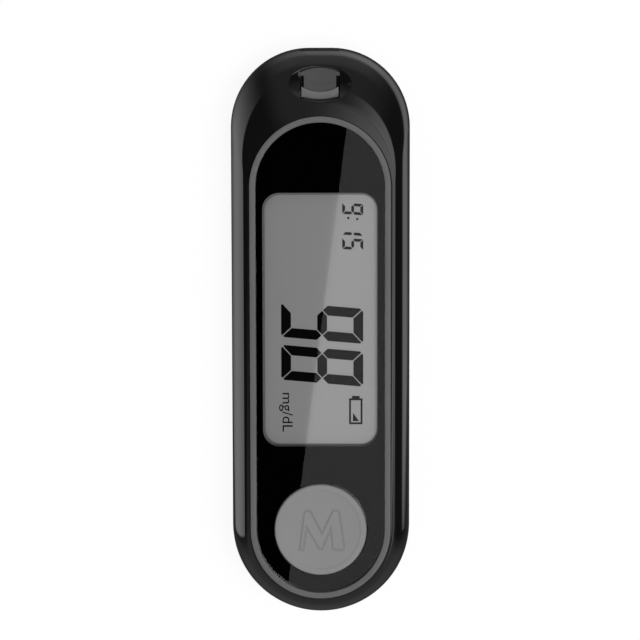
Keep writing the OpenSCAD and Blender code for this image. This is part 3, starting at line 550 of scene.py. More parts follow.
def prism(
    name: str, outline: Sequence[Point2], bottom: float, top: float, edge: float = 0.0
) -> bpy.types.Object:
    """An upright solid on an outline, with an optional rounded upper edge.

    Args:
        name: Name of the piece.
        outline: Anticlockwise outline.
        bottom: Lower height.
        top: Upper height.
        edge: Radius of the upper edge, for outlines that are round or large.

    Returns:
        The solid.
    """
    rings = []
    if edge > 0:
        for angle in reversed(EDGE_ANGLES):
            inset = edge * (1 - math.cos(math.radians(angle)))
            height = top - edge * (1 - math.sin(math.radians(angle)))
            rings.append([(x, y, height) for x, y in shrink(outline, inset)])
        rings.append([(x, y, top - edge) for x, y in outline])
    else:
        rings.append([(x, y, top) for x, y in outline])
    rings.append([(x, y, bottom) for x, y in outline])
    return stacked(name, rings)


def shrink(outline: Sequence[Point2], inset: float) -> list[Point2]:
    """The outline moved inwards along its own normals."""
    points = np.array(outline, float)
    ahead, behind = np.roll(points, -1, 0), np.roll(points, 1, 0)
    along = ahead - behind
    length = np.maximum(np.hypot(along[:, 0], along[:, 1]), TINY)
    inward = np.stack([-along[:, 1] / length, along[:, 0] / length], 1)
    return [tuple(p) for p in points + inward * inset]


def box(name: str, low: Sequence[float], high: Sequence[float]) -> bpy.types.Object:
    """A plain box that only serves as a cutter."""
    return prism(name, rectangle((low[0], low[1]), (high[0], high[1])), low[2], high[2])


def apply_modifiers(piece: bpy.types.Object) -> bpy.types.Object:
    """Turns the evaluated object into a plain mesh and drops its modifiers."""
    depsgraph = bpy.context.evaluated_depsgraph_get()
    mesh = bpy.data.meshes.new_from_object(piece.evaluated_get(depsgraph))
    piece.modifiers.clear()
    old = piece.data
    piece.data = mesh
    mesh.name = piece.name
    if old.users == 0:
        bpy.data.meshes.remove(old)
    return piece


def cut(piece: bpy.types.Object, cutters: Sequence[bpy.types.Object]) -> None:
    """Cuts the cutters off the piece, one after the other, and removes them."""
    for cutter in cutters:
        modifier = piece.modifiers.new("cut", "BOOLEAN")
        modifier.operation = "DIFFERENCE"
        modifier.solver = "EXACT"
        modifier.object = cutter
        apply_modifiers(piece)
        mesh = cutter.data
        bpy.data.objects.remove(cutter)
        bpy.data.meshes.remove(mesh)


def smooth(piece: bpy.types.Object, angle: float = 30.0) -> bpy.types.Object:
    """Shades the piece smooth, with sharp edges where it bends by more than angle degrees."""
    piece.data.shade_smooth()
    piece.data.set_sharp_from_angle(angle=math.radians(angle))
    return piece


def dress(
    piece: bpy.types.Object, body: Body, material: bpy.types.Material, nodes: Sequence[str] = ()
) -> bpy.types.Object:
    """Gives a finished piece its material, its body and the nodes that it stands for.

    Args:
        piece: The piece, at the origin.
        body: The body that it rides on.
        material: Its finish.
        nodes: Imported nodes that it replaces.

    Returns:
        The piece.
    """
    piece.data.materials.clear()
    piece.data.materials.append(material)
    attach(piece, body.value)
    if nodes:
        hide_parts(*nodes)
    LOG.info("%s: %d faces on %s", piece.name, len(piece.data.polygons), body.value)
    return piece


def merged_copy(node: str, name: str) -> bpy.types.Object:
    """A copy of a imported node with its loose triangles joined."""
    piece = bpy.data.objects.new(name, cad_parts[node].data.copy())
    bpy.context.scene.collection.objects.link(piece)
    mesh = bmesh.new()
    mesh.from_mesh(piece.data)
    bmesh.ops.remove_doubles(mesh, verts=mesh.verts, dist=MERGE_DISTANCE)
    limit = math.radians(FLAT_ANGLE)
    bmesh.ops.dissolve_limit(mesh, angle_limit=limit, verts=mesh.verts, edges=mesh.edges)
    mesh.to_mesh(piece.data)
    mesh.free()
    if piece.data.has_custom_normals:
        piece.data.attributes.remove(piece.data.attributes["custom_normal"])
    return piece


def soften_edges(piece: bpy.types.Object, width: float) -> bpy.types.Object:
    """Rounds the edges of a piece.

    Args:
        piece: A piece with joined faces.
        width: Width of the rounding.

    Returns:
        The piece as a plain mesh, shaded smooth.
    """
    bevel = piece.modifiers.new("edge", "BEVEL")
    bevel.width = width
    bevel.segments = EDGE_SEGMENTS
    bevel.limit_method = "ANGLE"
    bevel.angle_limit = math.radians(EDGE_BEND)
    bevel.use_clamp_overlap = True
    bevel.harden_normals = False
    apply_modifiers(piece)
    return smooth(piece, EDGE_CREASE)


# ------------------------------------------------------------------------------
# Geometry Nodes helpers
# ------------------------------------------------------------------------------


class GeometryTree:
    """A Geometry Nodes tree with named inputs that ends in Realize Instances and Set Material."""

    def __init__(self, name: str) -> None:
        """Starts the tree with a geometry input and output."""
        self.tree = bpy.data.node_groups.new(name, "GeometryNodeTree")
        self.tree.interface.new_socket("Geometry", in_out="INPUT", socket_type="NodeSocketGeometry")
        self.tree.interface.new_socket("Geometry", in_out="OUTPUT", socket_type="NodeSocketGeometry")
        self.group_in = self.tree.nodes.new("NodeGroupInput")
        self.group_out = self.tree.nodes.new("NodeGroupOutput")
        self.values: dict[str, object] = {}

    def size(self, name: str, value: float) -> bpy.types.NodeSocket:
        """Adds a named input and returns its socket inside the tree."""
        socket = self.tree.interface.new_socket(name, in_out="INPUT", socket_type="NodeSocketFloat")
        self.values[socket.identifier] = value
        return next(s for s in self.group_in.outputs if s.identifier == socket.identifier)

    def node(self, kind: str, inputs: Optional[dict] = None, **settings: object) -> bpy.types.Node:
        """Adds a node; each input takes a socket or a plain value."""
        node = self.tree.nodes.new(kind)
        for key, value in settings.items():
            setattr(node, key, value)
        for key, value in (inputs or {}).items():
            if isinstance(value, bpy.types.NodeSocket):
                self.tree.links.new(value, node.inputs[key])
            else:
                node.inputs[key].default_value = value
        return node

    def made(self, kind: str, inputs: Optional[dict] = None, **settings: object) -> bpy.types.NodeSocket:
        """Adds a node and returns its first output."""
        return self.node(kind, inputs, **settings).outputs[0]

    def math(self, operation: str, a: object, b: object) -> bpy.types.NodeSocket:
        """The result of one math step."""
        return self.made("ShaderNodeMath", {0: a, 1: b}, operation=operation)

    def vector(self, x: object, y: object, z: object) -> bpy.types.NodeSocket:
        """A vector from three parts."""
        return self.made("ShaderNodeCombineXYZ", {"X": x, "Y": y, "Z": z})

    def moved(
        self, geometry: bpy.types.NodeSocket, place: object, turn: object = None
    ) -> bpy.types.NodeSocket:
        """The geometry moved, and turned if asked."""
        inputs = {"Geometry": geometry, "Translation": place}
        if turn is not None:
            inputs["Rotation"] = turn
        return self.made("GeometryNodeTransform", inputs)

    def build(
        self, piece: bpy.types.Object, geometry: bpy.types.NodeSocket, material: bpy.types.Material
    ) -> bpy.types.Object:
        """Ends the tree, runs it on the piece and keeps the result as a plain mesh.

        Args:
            piece: The object that carries the tree.
            geometry: The geometry to end with.
            material: The material that Set Material gives.

        Returns:
            The piece, without its modifier.
        """
        real = self.made("GeometryNodeRealizeInstances", {"Geometry": geometry})
        shaded = self.made("GeometryNodeSetShadeSmooth", {"Geometry": real, "Shade Smooth": True})
        dressed = self.made("GeometryNodeSetMaterial", {"Geometry": shaded, "Material": material})
        self.tree.links.new(dressed, self.group_out.inputs[0])
        modifier = piece.modifiers.new("tree", "NODES")
        modifier.node_group = self.tree
        for identifier, value in self.values.items():
            modifier[identifier] = value
        return apply_modifiers(piece)


def empty_mesh(name: str, points: Sequence[Point3] = ()) -> bpy.types.Object:
    """An object that holds only points, for a tree to build on."""
    return make_object(name, points, [])


# ------------------------------------------------------------------------------
# Shell
# ------------------------------------------------------------------------------


@dataclass
class FrontShell:
    """The gloss front cover: a loft from the flat land to the parting line, with the dish in its nose."""

    plan: Plan
    dish: Dish
    end_steps: int = 96
    side_steps: int = 30
    corner_steps: int = 24
    nose_steps: int = 96
    fan_steps: int = 24
    flank_steps: int = 130
    dense_angle: float = 56.0
    rim_blend: float = 0.16 * MM
    parting_edge: float = 0.1 * MM
    recess_edge: float = 0.05 * MM
    land_drop: float = 0.01 * MM
    carrier_half: float = 4.5 * MM
    carrier_low: float = 10.3 * MM
    carrier_reach: float = 49.7 * MM
    lip_clear: float = 1.1 * MM
    cavity_lean: float = 2.2 * MM
    cavity_steps: int = 40
    cavity_rings: int = 12
    cavity_fuller: float = 0.5
    dish_wall: float = 1.1 * MM
    boss_radius: float = 1.8 * MM
    boss_sides: int = 48
    spindle_stations: int = 24
    spindle_sides: int = 48
    window_step: float = 0.35 * MM
    cutter_floor: float = 9 * MM
    cutter_spare: float = 1 * MM
    cut_overlap: float = 0.01 * MM
    carrier_clear: float = 0.3 * MM
    flange_height: float = 0.5 * MM
    slot_lift: float = 0.7 * MM
    slot_half: float = 3.65 * MM
    slot_height: float = 1 * MM
    flare_half: float = 3.85 * MM
    flare_depth: float = 0.2 * MM
    flare_proud: float = 0.1 * MM
    crease: float = 28.0

    def outlines(self) -> tuple[np.ndarray, np.ndarray]:
        """The upper and the lower outline, point for point, anticlockwise from the left of the round end.

        Returns:
            Two arrays of points in plan.
        """
        plan = self.plan
        corner_x = plan.half_width - plan.nose_radius
        corner_y = plan.tip_y - plan.nose_radius
        upper: list[Point2] = []
        lower: list[Point2] = []
        upper += arc((0, plan.end_y), plan.land_half, 180, 360, self.end_steps)
        lower += arc((0, plan.end_y), plan.half_width, 180, 360, self.end_steps)
        for i in range(1, self.side_steps):
            share = i / self.side_steps
            upper.append((plan.land_half, plan.end_y + (plan.face_nose_y - plan.end_y) * share))
            lower.append((plan.half_width, plan.end_y + (corner_y - plan.end_y) * share))
        angles = list(np.linspace(0, self.dense_angle, self.corner_steps, endpoint=False))
        angles += list(np.linspace(self.dense_angle, 90, self.nose_steps))
        right = [(math.radians(a), corner_x) for a in angles]
        fan = [(math.radians(90), corner_x * (1 - 2 * i / self.fan_steps)) for i in range(1, self.fan_steps)]
        left = [(math.radians(180 - a), -corner_x) for a in reversed(angles)]
        for angle, centre_x in right + fan + left:
            x, y = math.cos(angle), math.sin(angle)
            upper.append((plan.land_half * x, plan.face_nose_y + plan.land_half * y))
            lower.append((centre_x + plan.nose_radius * x, corner_y + plan.nose_radius * y))
        for i in range(1, self.side_steps):
            share = 1 - i / self.side_steps
            upper.append((-plan.land_half, plan.end_y + (plan.face_nose_y - plan.end_y) * share))
            lower.append((-plan.half_width, plan.end_y + (corner_y - plan.end_y) * share))
        return np.array(upper), np.array(lower)

    def scooped(self, ring: np.ndarray) -> np.ndarray:
        """Lowers points into the dish, with a small round rim between flank and dish."""
        floor = self.dish.floor(ring[:, 0], ring[:, 1])
        blend = np.maximum(self.rim_blend - np.abs(ring[:, 2] - floor), 0) / self.rim_blend
        low = np.minimum(ring[:, 2], floor) - blend**2 * self.rim_blend / 4
        near = ring[:, 1] > self.dish.middle - self.dish.length
        ring[:, 2] = np.where(near, low, ring[:, 2])
        return ring

    def outer(self) -> bpy.types.Object:
        """The closed outer form, with the recess for ring and lens, before its inside is cut."""
        plan = self.plan
        upper, lower = self.outlines()
        across = (upper - lower) / np.linalg.norm(upper - lower, axis=1)[:, None]

        def ring(places: np.ndarray, height: float) -> np.ndarray:
            """Points in plan lifted to a height."""
            return np.column_stack([places, np.full(len(places), height)])

        face_inset = (plan.land_half - plan.face_half) * across
        edge = self.recess_edge * across
        rings = [
            ring(upper + face_inset, plan.seat_z),
            ring(upper + face_inset, plan.face_z - self.recess_edge),
            ring(upper + face_inset - edge, plan.face_z),
        ]
        low_z = plan.parting_z + self.parting_edge
        high_z = plan.face_z - self.land_drop
        for k in range(self.flank_steps + 1):
            t = math.radians(90 * k / self.flank_steps)
            out = math.sin(t) ** (2 / plan.fullness)
            up = max(math.cos(t), 0.0) ** (2 / plan.fullness)
            rings.append(self.scooped(ring(upper + (lower - upper) * out, low_z + (high_z - low_z) * up)))
        rings.append(ring(lower + self.parting_edge * across, plan.parting_z))
        return stacked("front_shell", rings)

    def cavity(self) -> bpy.types.Object:
        """The space inside the shell, less the dish's backing and the screw bosses."""
        plan = self.plan
        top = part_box("lcd_gasket")[1].z
        half = plan.half_width - plan.wall
        steps = self.cavity_steps
        upper = stadium(half - self.cavity_lean, plan.end_y, plan.face_nose_y, steps)
        nose = plan.nose_radius - plan.wall
        corner = (plan.half_width - plan.nose_radius, plan.tip_y - plan.nose_radius)
        lower = (
            arc((0, plan.end_y), half, 180, 360, steps) + arc(corner, nose, 0, 90, steps // 2)
            + arc((-corner[0], corner[1]), nose, 90, 180, steps // 2)[1:]
        )
        bottom = plan.parting_z + self.lip_clear
        power = 2 / (plan.fullness + self.cavity_fuller)
        rings = []
        for k in range(self.cavity_rings + 1):
            t = math.radians(90 * k / self.cavity_rings)
            out = math.sin(t) ** power
            up = max(math.cos(t), 0.0) ** power
            rings.append([
                (a[0] + (b[0] - a[0]) * out, a[1] + (b[1] - a[1]) * out, bottom + (top - bottom) * up)
                for a, b in zip(upper, lower)
            ])
        rings.append([(x, y, plan.parting_z - self.cutter_spare) for x, y in lower])
        hollow = stacked("cavity", rings)
        keep = [self.spindle(self.dish_wall)]
        board_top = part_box("main_board")[1].z
        for place in places_of("housing_screws"):
            outline = circle(place, self.boss_radius, self.boss_sides)
            keep.append(prism("boss", outline, board_top, plan.face_z))
        cut(hollow, keep)
        return hollow

    def spindle(self, grow: float) -> bpy.types.Object:
        """The dish's own spindle, grown by a wall."""
        axis_y, axis_z = self.dish.axis
        cross = self.dish.cross_radius + grow
        long = self.dish.long_radius + grow
        half = math.sqrt(long**2 - (long - cross) ** 2)
        stations, sides = self.spindle_stations, self.spindle_sides
        points: list[Point3] = []
        for k in range(1, stations):
            x = half * math.cos(math.pi * k / stations)
            reach = cross - long + math.sqrt(long**2 - x**2)
            for i in range(sides):
                a = 2 * math.pi * i / sides
                points.append((x, axis_y + reach * math.cos(a), axis_z + reach * math.sin(a)))
        faces: list[Face] = [tuple(reversed(range(sides)))]
        last = (stations - 2) * sides
        faces.append(tuple(last + i for i in range(sides)))
        for k in range(stations - 2):
            for i in range(sides):
                here, beside = k * sides + i, k * sides + (i + 1) % sides
                faces.append((here, beside, beside + sides, here + sides))
        return outward(make_object("spindle", points, faces))

    def build(self, material: bpy.types.Material, track: Sequence[Point2]) -> bpy.types.Object:
        """Builds the shell.

        Args:
            material: The shell's finish.
            track: Outline of the opening in the dish that the slider runs in.

        Returns:
            The finished piece.
        """
        plan = self.plan
        shell = self.outer()
        guide_low, guide_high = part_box("ejector_guide")
        window = rounded_box(
            (-plan.window_half - self.window_step, plan.window_start - self.window_step),
            (plan.window_half + self.window_step, plan.window_end + self.window_step),
            plan.window_radius + self.window_step,
        )
        above = plan.face_z + self.cutter_spare
        fit = plan.trim_fit
        connector_low, connector_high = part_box("strip_connector")
        slot_z = connector_low.z + self.slot_lift
        hole = circle((0, plan.end_y), plan.button_hole, HOLE_SIDES)
        cutters = [
            self.cavity(),
            prism("window", window, self.cutter_floor, above),
            prism("hole", hole, self.cutter_floor, above),
            prism("track", track, guide_low.z, above),
            box(
                "carrier",
                (-self.carrier_half, connector_low.y, self.carrier_low - self.carrier_clear),
                (self.carrier_half, self.carrier_reach, guide_low.z + self.cut_overlap),
            ),
            box(
                "flange",
                (guide_low.x - fit, guide_low.y - fit, self.carrier_low),
                (guide_high.x + fit, guide_high.y + fit, guide_low.z + self.flange_height),
            ),
            box(
                "slot",
                (-self.slot_half, connector_high.y, slot_z),
                (self.slot_half, plan.tip_y + 2 * self.cutter_spare, slot_z + self.slot_height),
            ),
            self.slot_flare(slot_z + self.slot_height / 2),
        ]
        cut(shell, cutters)
        smooth(shell, self.crease)
        return dress(shell, Body.METER, material, ["front_cover"])

    def slot_flare(self, middle: float) -> bpy.types.Object:
        """Wedge that flares the strip slot at the nose's end face."""
        tip = self.plan.tip_y
        half, deep, proud = self.flare_half, self.flare_depth, self.flare_proud
        slot = self.slot_height / 2
        wide = slot + deep + proud
        profile = [(-deep, slot), (-deep, -slot), (proud, -wide), (proud, wide)]
        points = [(x, tip + y, middle + z) for x in (-half, half) for y, z in profile]
        faces = [(0, 1, 2, 3), (7, 6, 5, 4), (0, 4, 5, 1), (1, 5, 6, 2), (2, 6, 7, 3), (3, 7, 4, 0)]
        return outward(make_object("flare", points, faces))


def outward(piece: bpy.types.Object) -> bpy.types.Object:
    """Turns every face outwards."""
    mesh = bmesh.new()
    mesh.from_mesh(piece.data)
    bmesh.ops.recalc_face_normals(mesh, faces=mesh.faces)
    mesh.to_mesh(piece.data)
    mesh.free()
    return piece


def places_of(node: str) -> list[Point2]:
    """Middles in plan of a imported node's screws, from its loose points."""
    points = np.array([v.co[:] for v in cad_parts[node].data.vertices])[:, :2]
    places: list[np.ndarray] = []
    for point in points:
        if not any(np.hypot(*(point - place)) < SCREW_REACH for place in places):
            near = points[np.hypot(*(points - point).T) < SCREW_REACH]
            places.append((near.min(0) + near.max(0)) / 2)
    return [(float(x), float(y)) for x, y in places]


# ------------------------------------------------------------------------------
# Face: trim ring, lens, mask
# ------------------------------------------------------------------------------


@dataclass
class FaceSet:
    """The trim ring, the clear lens and the black print under it."""

    plan: Plan
    ring_width: float = 1.13 * MM
    ring_bevel: float = 0.14 * MM
    lens_edge: float = 0.03 * MM
    print_gap: float = 0.015 * MM
    end_steps: int = 96
    corner_points: int = 64
    bevel_points: int = 4
    fillet_share: float = 0.99999
    lens_crease: float = 8.0

    def ring(self, material: bpy.types.Material) -> bpy.types.Object:
        """The trim ring, a bevelled profile swept round a stadium by a node tree."""
        plan = self.plan
        tree = GeometryTree("trim_ring_sweep")
        half = tree.size("Outer half width", plan.ring_half)
        start = tree.size("Round end", plan.end_y)
        end = tree.size("Nose end", plan.face_nose_y)
        width = tree.size("Ring width", self.ring_width)
        low = tree.size("Underside", plan.seat_z)
        high = tree.size("Top", plan.ring_top)
        bevel = tree.size("Bevel", self.ring_bevel)
        middle = tree.math("SUBTRACT", half, tree.math("MULTIPLY", width, 0.5))
        across = tree.math("MULTIPLY", middle, 2.0)
        along = tree.math("ADD", tree.math("SUBTRACT", end, start), across)
        path = tree.made("GeometryNodeCurvePrimitiveQuadrilateral", {"Width": across, "Height": along})
        radius = tree.math("MULTIPLY", middle, self.fillet_share)
        path = tree.made(
            "GeometryNodeFilletCurve", {"Curve": path, "Count": self.corner_points, "Radius": radius},
            mode="POLY",
        )
        height = tree.math("SUBTRACT", high, low)
        place = tree.vector(
            0.0, tree.math("MULTIPLY", tree.math("ADD", start, end), 0.5),
            tree.math("ADD", low, tree.math("MULTIPLY", height, 0.5)),
        )
        path = tree.moved(path, place)
        profile = tree.made("GeometryNodeCurvePrimitiveQuadrilateral", {"Width": width, "Height": height})
        profile = tree.made(
            "GeometryNodeFilletCurve", {"Curve": profile, "Count": self.bevel_points, "Radius": bevel},
            mode="POLY",
        )
        swept = tree.made("GeometryNodeCurveToMesh", {"Curve": path, "Profile Curve": profile})
        piece = tree.build(empty_mesh("trim_ring_bright"), swept, material)
        smooth(outward(piece))
        return dress(piece, Body.METER, material, ["trim_ring"])

    def lens(self, material: bpy.types.Material) -> bpy.types.Object:
        """The clear lens with the button's hole."""
        plan = self.plan
        outline = stadium(plan.lens_half, plan.end_y, plan.face_nose_y, self.end_steps)
        underside = plan.lens_bottom + self.print_gap
        piece = prism("clear_lens", outline, underside, plan.lens_top, self.lens_edge)
        hole = circle((0, plan.end_y), plan.button_hole, HOLE_SIDES)
        cut(piece, [prism("hole", hole, plan.lens_bottom - MM, plan.lens_top + MM)])
        smooth(piece, self.lens_crease)
        piece.visible_shadow = False
        piece.visible_diffuse = False
        return dress(piece, Body.METER, material, ["display_lens"])

    def build(self, finishes: "Finishes") -> None:
        """Builds the three pieces of the face."""
        self.ring(finishes.get(TRIM_GREY))
        self.lens(finishes.get(CLEAR_LENS))
        dress_node("lens_mask", finishes.get(MASK_BLACK))


# ------------------------------------------------------------------------------
# Display
# ------------------------------------------------------------------------------


class Segment(Enum):
    """The seven bars of a figure, clockwise from the top, then the middle."""

    TOP = "a"
    UPPER_RIGHT = "b"
    LOWER_RIGHT = "c"
    BOTTOM = "d"
    LOWER_LEFT = "e"
    UPPER_LEFT = "f"
    MIDDLE = "g"


BARS = {"1": "bc", "5": "acdfg", "8": "abcdefg", "9": "abcdfg"}


@dataclass(frozen=True)
class FigureStyle:
    """Size of the seven-bar figures of one row."""

    width: float
    height: float
    stroke: float
    gap: float
    chamfer: float
    slant: float

    def bar(self, segment: Segment) -> list[Point2]:
        """Outline of one bar, with its ends cut at 45 degrees.

        Args:
            segment: The bar.

        Returns:
            Its corners, across and up, before the slant.
        """
        w, h, s, c = self.width, self.height, self.stroke, self.chamfer
        k = self.gap / math.sqrt(2)
        m = h / 2
        top = [((c + k) / 2, h - (c - k) / 2), (c, h), (w - c, h), (w - (c + k) / 2, h - (c - k) / 2),
               (w - s - k, h - s), (s + k, h - s)]
        left = [((c - k) / 2, h - (c + k) / 2), (0, h - c), (0, m + s / 2 + k), (s / 2, m + k),
                (s, m + s / 2 + k), (s, h - s - k)]
        middle = [(s / 2 + k, m), (s + k, m + s / 2), (w - s - k, m + s / 2), (w - s / 2 - k, m),
                  (w - s - k, m - s / 2), (s + k, m - s / 2)]
        if segment is Segment.MIDDLE:
            return middle
        if segment in (Segment.TOP, Segment.BOTTOM):
            return top if segment is Segment.TOP else [(x, h - y) for x, y in top]
        if segment in (Segment.UPPER_RIGHT, Segment.LOWER_RIGHT):
            left = [(w - x, y) for x, y in left]
        if segment in (Segment.LOWER_LEFT, Segment.LOWER_RIGHT):
            left = [(x, h - y) for x, y in left]
        return left

    def figure(self, digit: str, start: float, base: float) -> list[list[Point2]]:
        """Outlines in plan of one figure's bars.

        Args:
            digit: The figure.
            start: Place of its left edge along the line of reading, which runs towards -Y.
            base: X of its base line.

        Returns:
            One outline for each bar.
        """
        bars = []
        for segment in Segment:
            if segment.value in BARS[digit]:
                bars.append([(base + y, -(start + x + self.slant * y)) for x, y in self.bar(segment)])
        return bars


@dataclass
class Display:
    """The display's polarised sheet and its figures, which read towards -Y with their tops towards +X."""

    plan: Plan
    sheet_thickness: float = 0.1 * MM
    ink_thickness: float = 0.015 * MM
    # Margins of the sheet inside the window, where the darker glass shows round it as a band of painted shade
    left_border: float = 0.4 * MM
    right_border: float = 0.17 * MM
    near_border: float = 0.3 * MM
    far_border: float = 0.5 * MM
    sheet_radius: float = 3.0 * MM
    result: FigureStyle = FigureStyle(6.72 * MM, 15.59 * MM, 1.86 * MM, 0.2 * MM, 0.62 * MM, 0.0865)
    clock: FigureStyle = FigureStyle(2.14 * MM, 3.97 * MM, 0.54 * MM, 0.14 * MM, 0.2 * MM, 0.07)
    result_base: float = -7.47 * MM
    result_figures: tuple[tuple[str, float], ...] = (("9", -6.41 * MM), ("8", 1.81 * MM))
    clock_base: float = 4.15 * MM
    clock_figures: tuple[tuple[str, float], ...] = (("9", -25.28 * MM), ("1", -21.36 * MM), ("5", -18.6 * MM))
    clock_dots: tuple[Point2, ...] = ((5.3 * MM, 22.36 * MM), (7.0 * MM, 22.15 * MM))
    dot_radius: float = 0.23 * MM
    dot_sides: int = 24
    unit_text: str = "mg/dL"
    unit_base: float = -7.25 * MM
    unit_span: Point2 = (11.09 * MM, 18.57 * MM)
    unit_height: float = 1.95 * MM
    battery_low: Point2 = (5.43 * MM, -17.12 * MM)
    battery_high: Point2 = (7.98 * MM, -12.14 * MM)
    battery_line: float = 0.36 * MM
    pole_half: float = 0.72 * MM
    pole_height: float = 0.48 * MM
    charge_side: float = 0.72 * MM
    charge_far: float = 2.77 * MM
    charge_near: float = 0.6 * MM
    charge_reach: float = 1.9 * MM
    crease: float = 20.0

    def build(self, finishes: "Finishes") -> None:
        """Builds the sheet and the figures, and dresses the display's other layers."""
        plan = self.plan
        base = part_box("lcd_front_glass")[1].z
        # The sheet stops short of the window, so the darker glass round it paints the shade at the window's
        # edge
        low = (-plan.window_half + self.left_border, plan.window_start + self.near_border)
        high = (plan.window_half - self.right_border, plan.window_end - self.far_border)
        outline = rounded_box(low, high, self.sheet_radius)
        sheet = smooth(prism("display_sheet", outline, base, base + self.sheet_thickness), self.crease)
        dress(sheet, Body.METER, finishes.get(DISPLAY_GREY))
        self.figures(finishes.get(INK), base + self.sheet_thickness)
        for node, finish in (
            ("lcd_front_glass", GLASS_AND_PAINTED_SHADE), ("lcd_rear_glass", GLASS_AND_PAINTED_SHADE), ("lcd_reflector", REFLECTOR),
            ("lcd_gasket", FOAM), ("lcd_frame", FRAME_GREY), ("zebra_strip", ZEBRA),
        ):
            dress_node(node, finishes.get(finish))

    def battery(self) -> list[list[Point2]]:
        """Outlines of the cell mark: four walls, its pole and the low charge in it."""
        (left, near), (right, far) = self.battery_low, self.battery_high
        t = self.battery_line
        middle = (left + right) / 2
        corner = near + self.charge_near
        return [
            rectangle((left, near), (left + t, far)),
            rectangle((right - t, near), (right, far)),
            rectangle((left + t, near), (right - t, near + t)),
            rectangle((left + t, far - t), (right - t, far)),
            rectangle((middle - self.pole_half, far), (middle + self.pole_half, far + self.pole_height)),
            [(left + self.charge_side, far - self.charge_far), (left + self.charge_side, corner),
             (left + self.charge_reach, corner)],
        ]

    def unit(self, base: float) -> bpy.types.Object:
        """The unit beside the result, in the plain built-in letters, laid along the line of reading."""
        data = bpy.data.curves.new("unit", "FONT")
        data.body = self.unit_text
        letters = bpy.data.objects.new("unit", data)
        bpy.context.scene.collection.objects.link(letters)
        mesh = bpy.data.meshes.new_from_object(letters.evaluated_get(bpy.context.evaluated_depsgraph_get()))
        bpy.data.objects.remove(letters)
        across = [v.co.x for v in mesh.vertices]
        wide = (self.unit_span[1] - self.unit_span[0]) / (max(across) - min(across))
        high = self.unit_height / max(v.co.y for v in mesh.vertices)
        for v in mesh.vertices:
            x, y = (v.co.x - min(across)) * wide, v.co.y * high
            v.co = (self.unit_base + y, -(self.unit_span[0] + x), base)
        piece = bpy.data.objects.new("unit_mark", mesh)
        bpy.context.scene.collection.objects.link(piece)
        thick = piece.modifiers.new("thickness", "SOLIDIFY")
        thick.thickness = self.ink_thickness
        thick.offset = 1.0
        return apply_modifiers(piece)

    def figures(self, material: bpy.types.Material, base: float) -> None:
        """The result, the time of day, the cell mark and the unit, as thin ink on the sheet.

        Args:
            material: The ink.
            base: Height of the sheet's upper side.
        """
        outlines: list[list[Point2]] = []
        for digit, start in self.result_figures:
            outlines += self.result.figure(digit, start, self.result_base)
        for digit, start in self.clock_figures:
            outlines += self.clock.figure(digit, start, self.clock_base)
        for dot in self.clock_dots:
            outlines.append(circle(dot, self.dot_radius, self.dot_sides))
        outlines += self.battery()
        top = base + self.ink_thickness
        pieces = [outward(prism("bar", outline, base, top)) for outline in outlines]
        pieces.append(outward(self.unit(base)))
        dress(joined("display_figures", pieces), Body.METER, material)


def joined(name: str, pieces: Sequence[bpy.types.Object]) -> bpy.types.Object:
    """One mesh object out of several, which are removed."""
    mesh = bmesh.new()
    for piece in pieces:
        mesh.from_mesh(piece.data)
        old = piece.data
        bpy.data.objects.remove(piece)
        bpy.data.meshes.remove(old)
    whole = make_object(name, [], [])
    mesh.to_mesh(whole.data)
    mesh.free()
    return whole


# ------------------------------------------------------------------------------
# Button
# ------------------------------------------------------------------------------


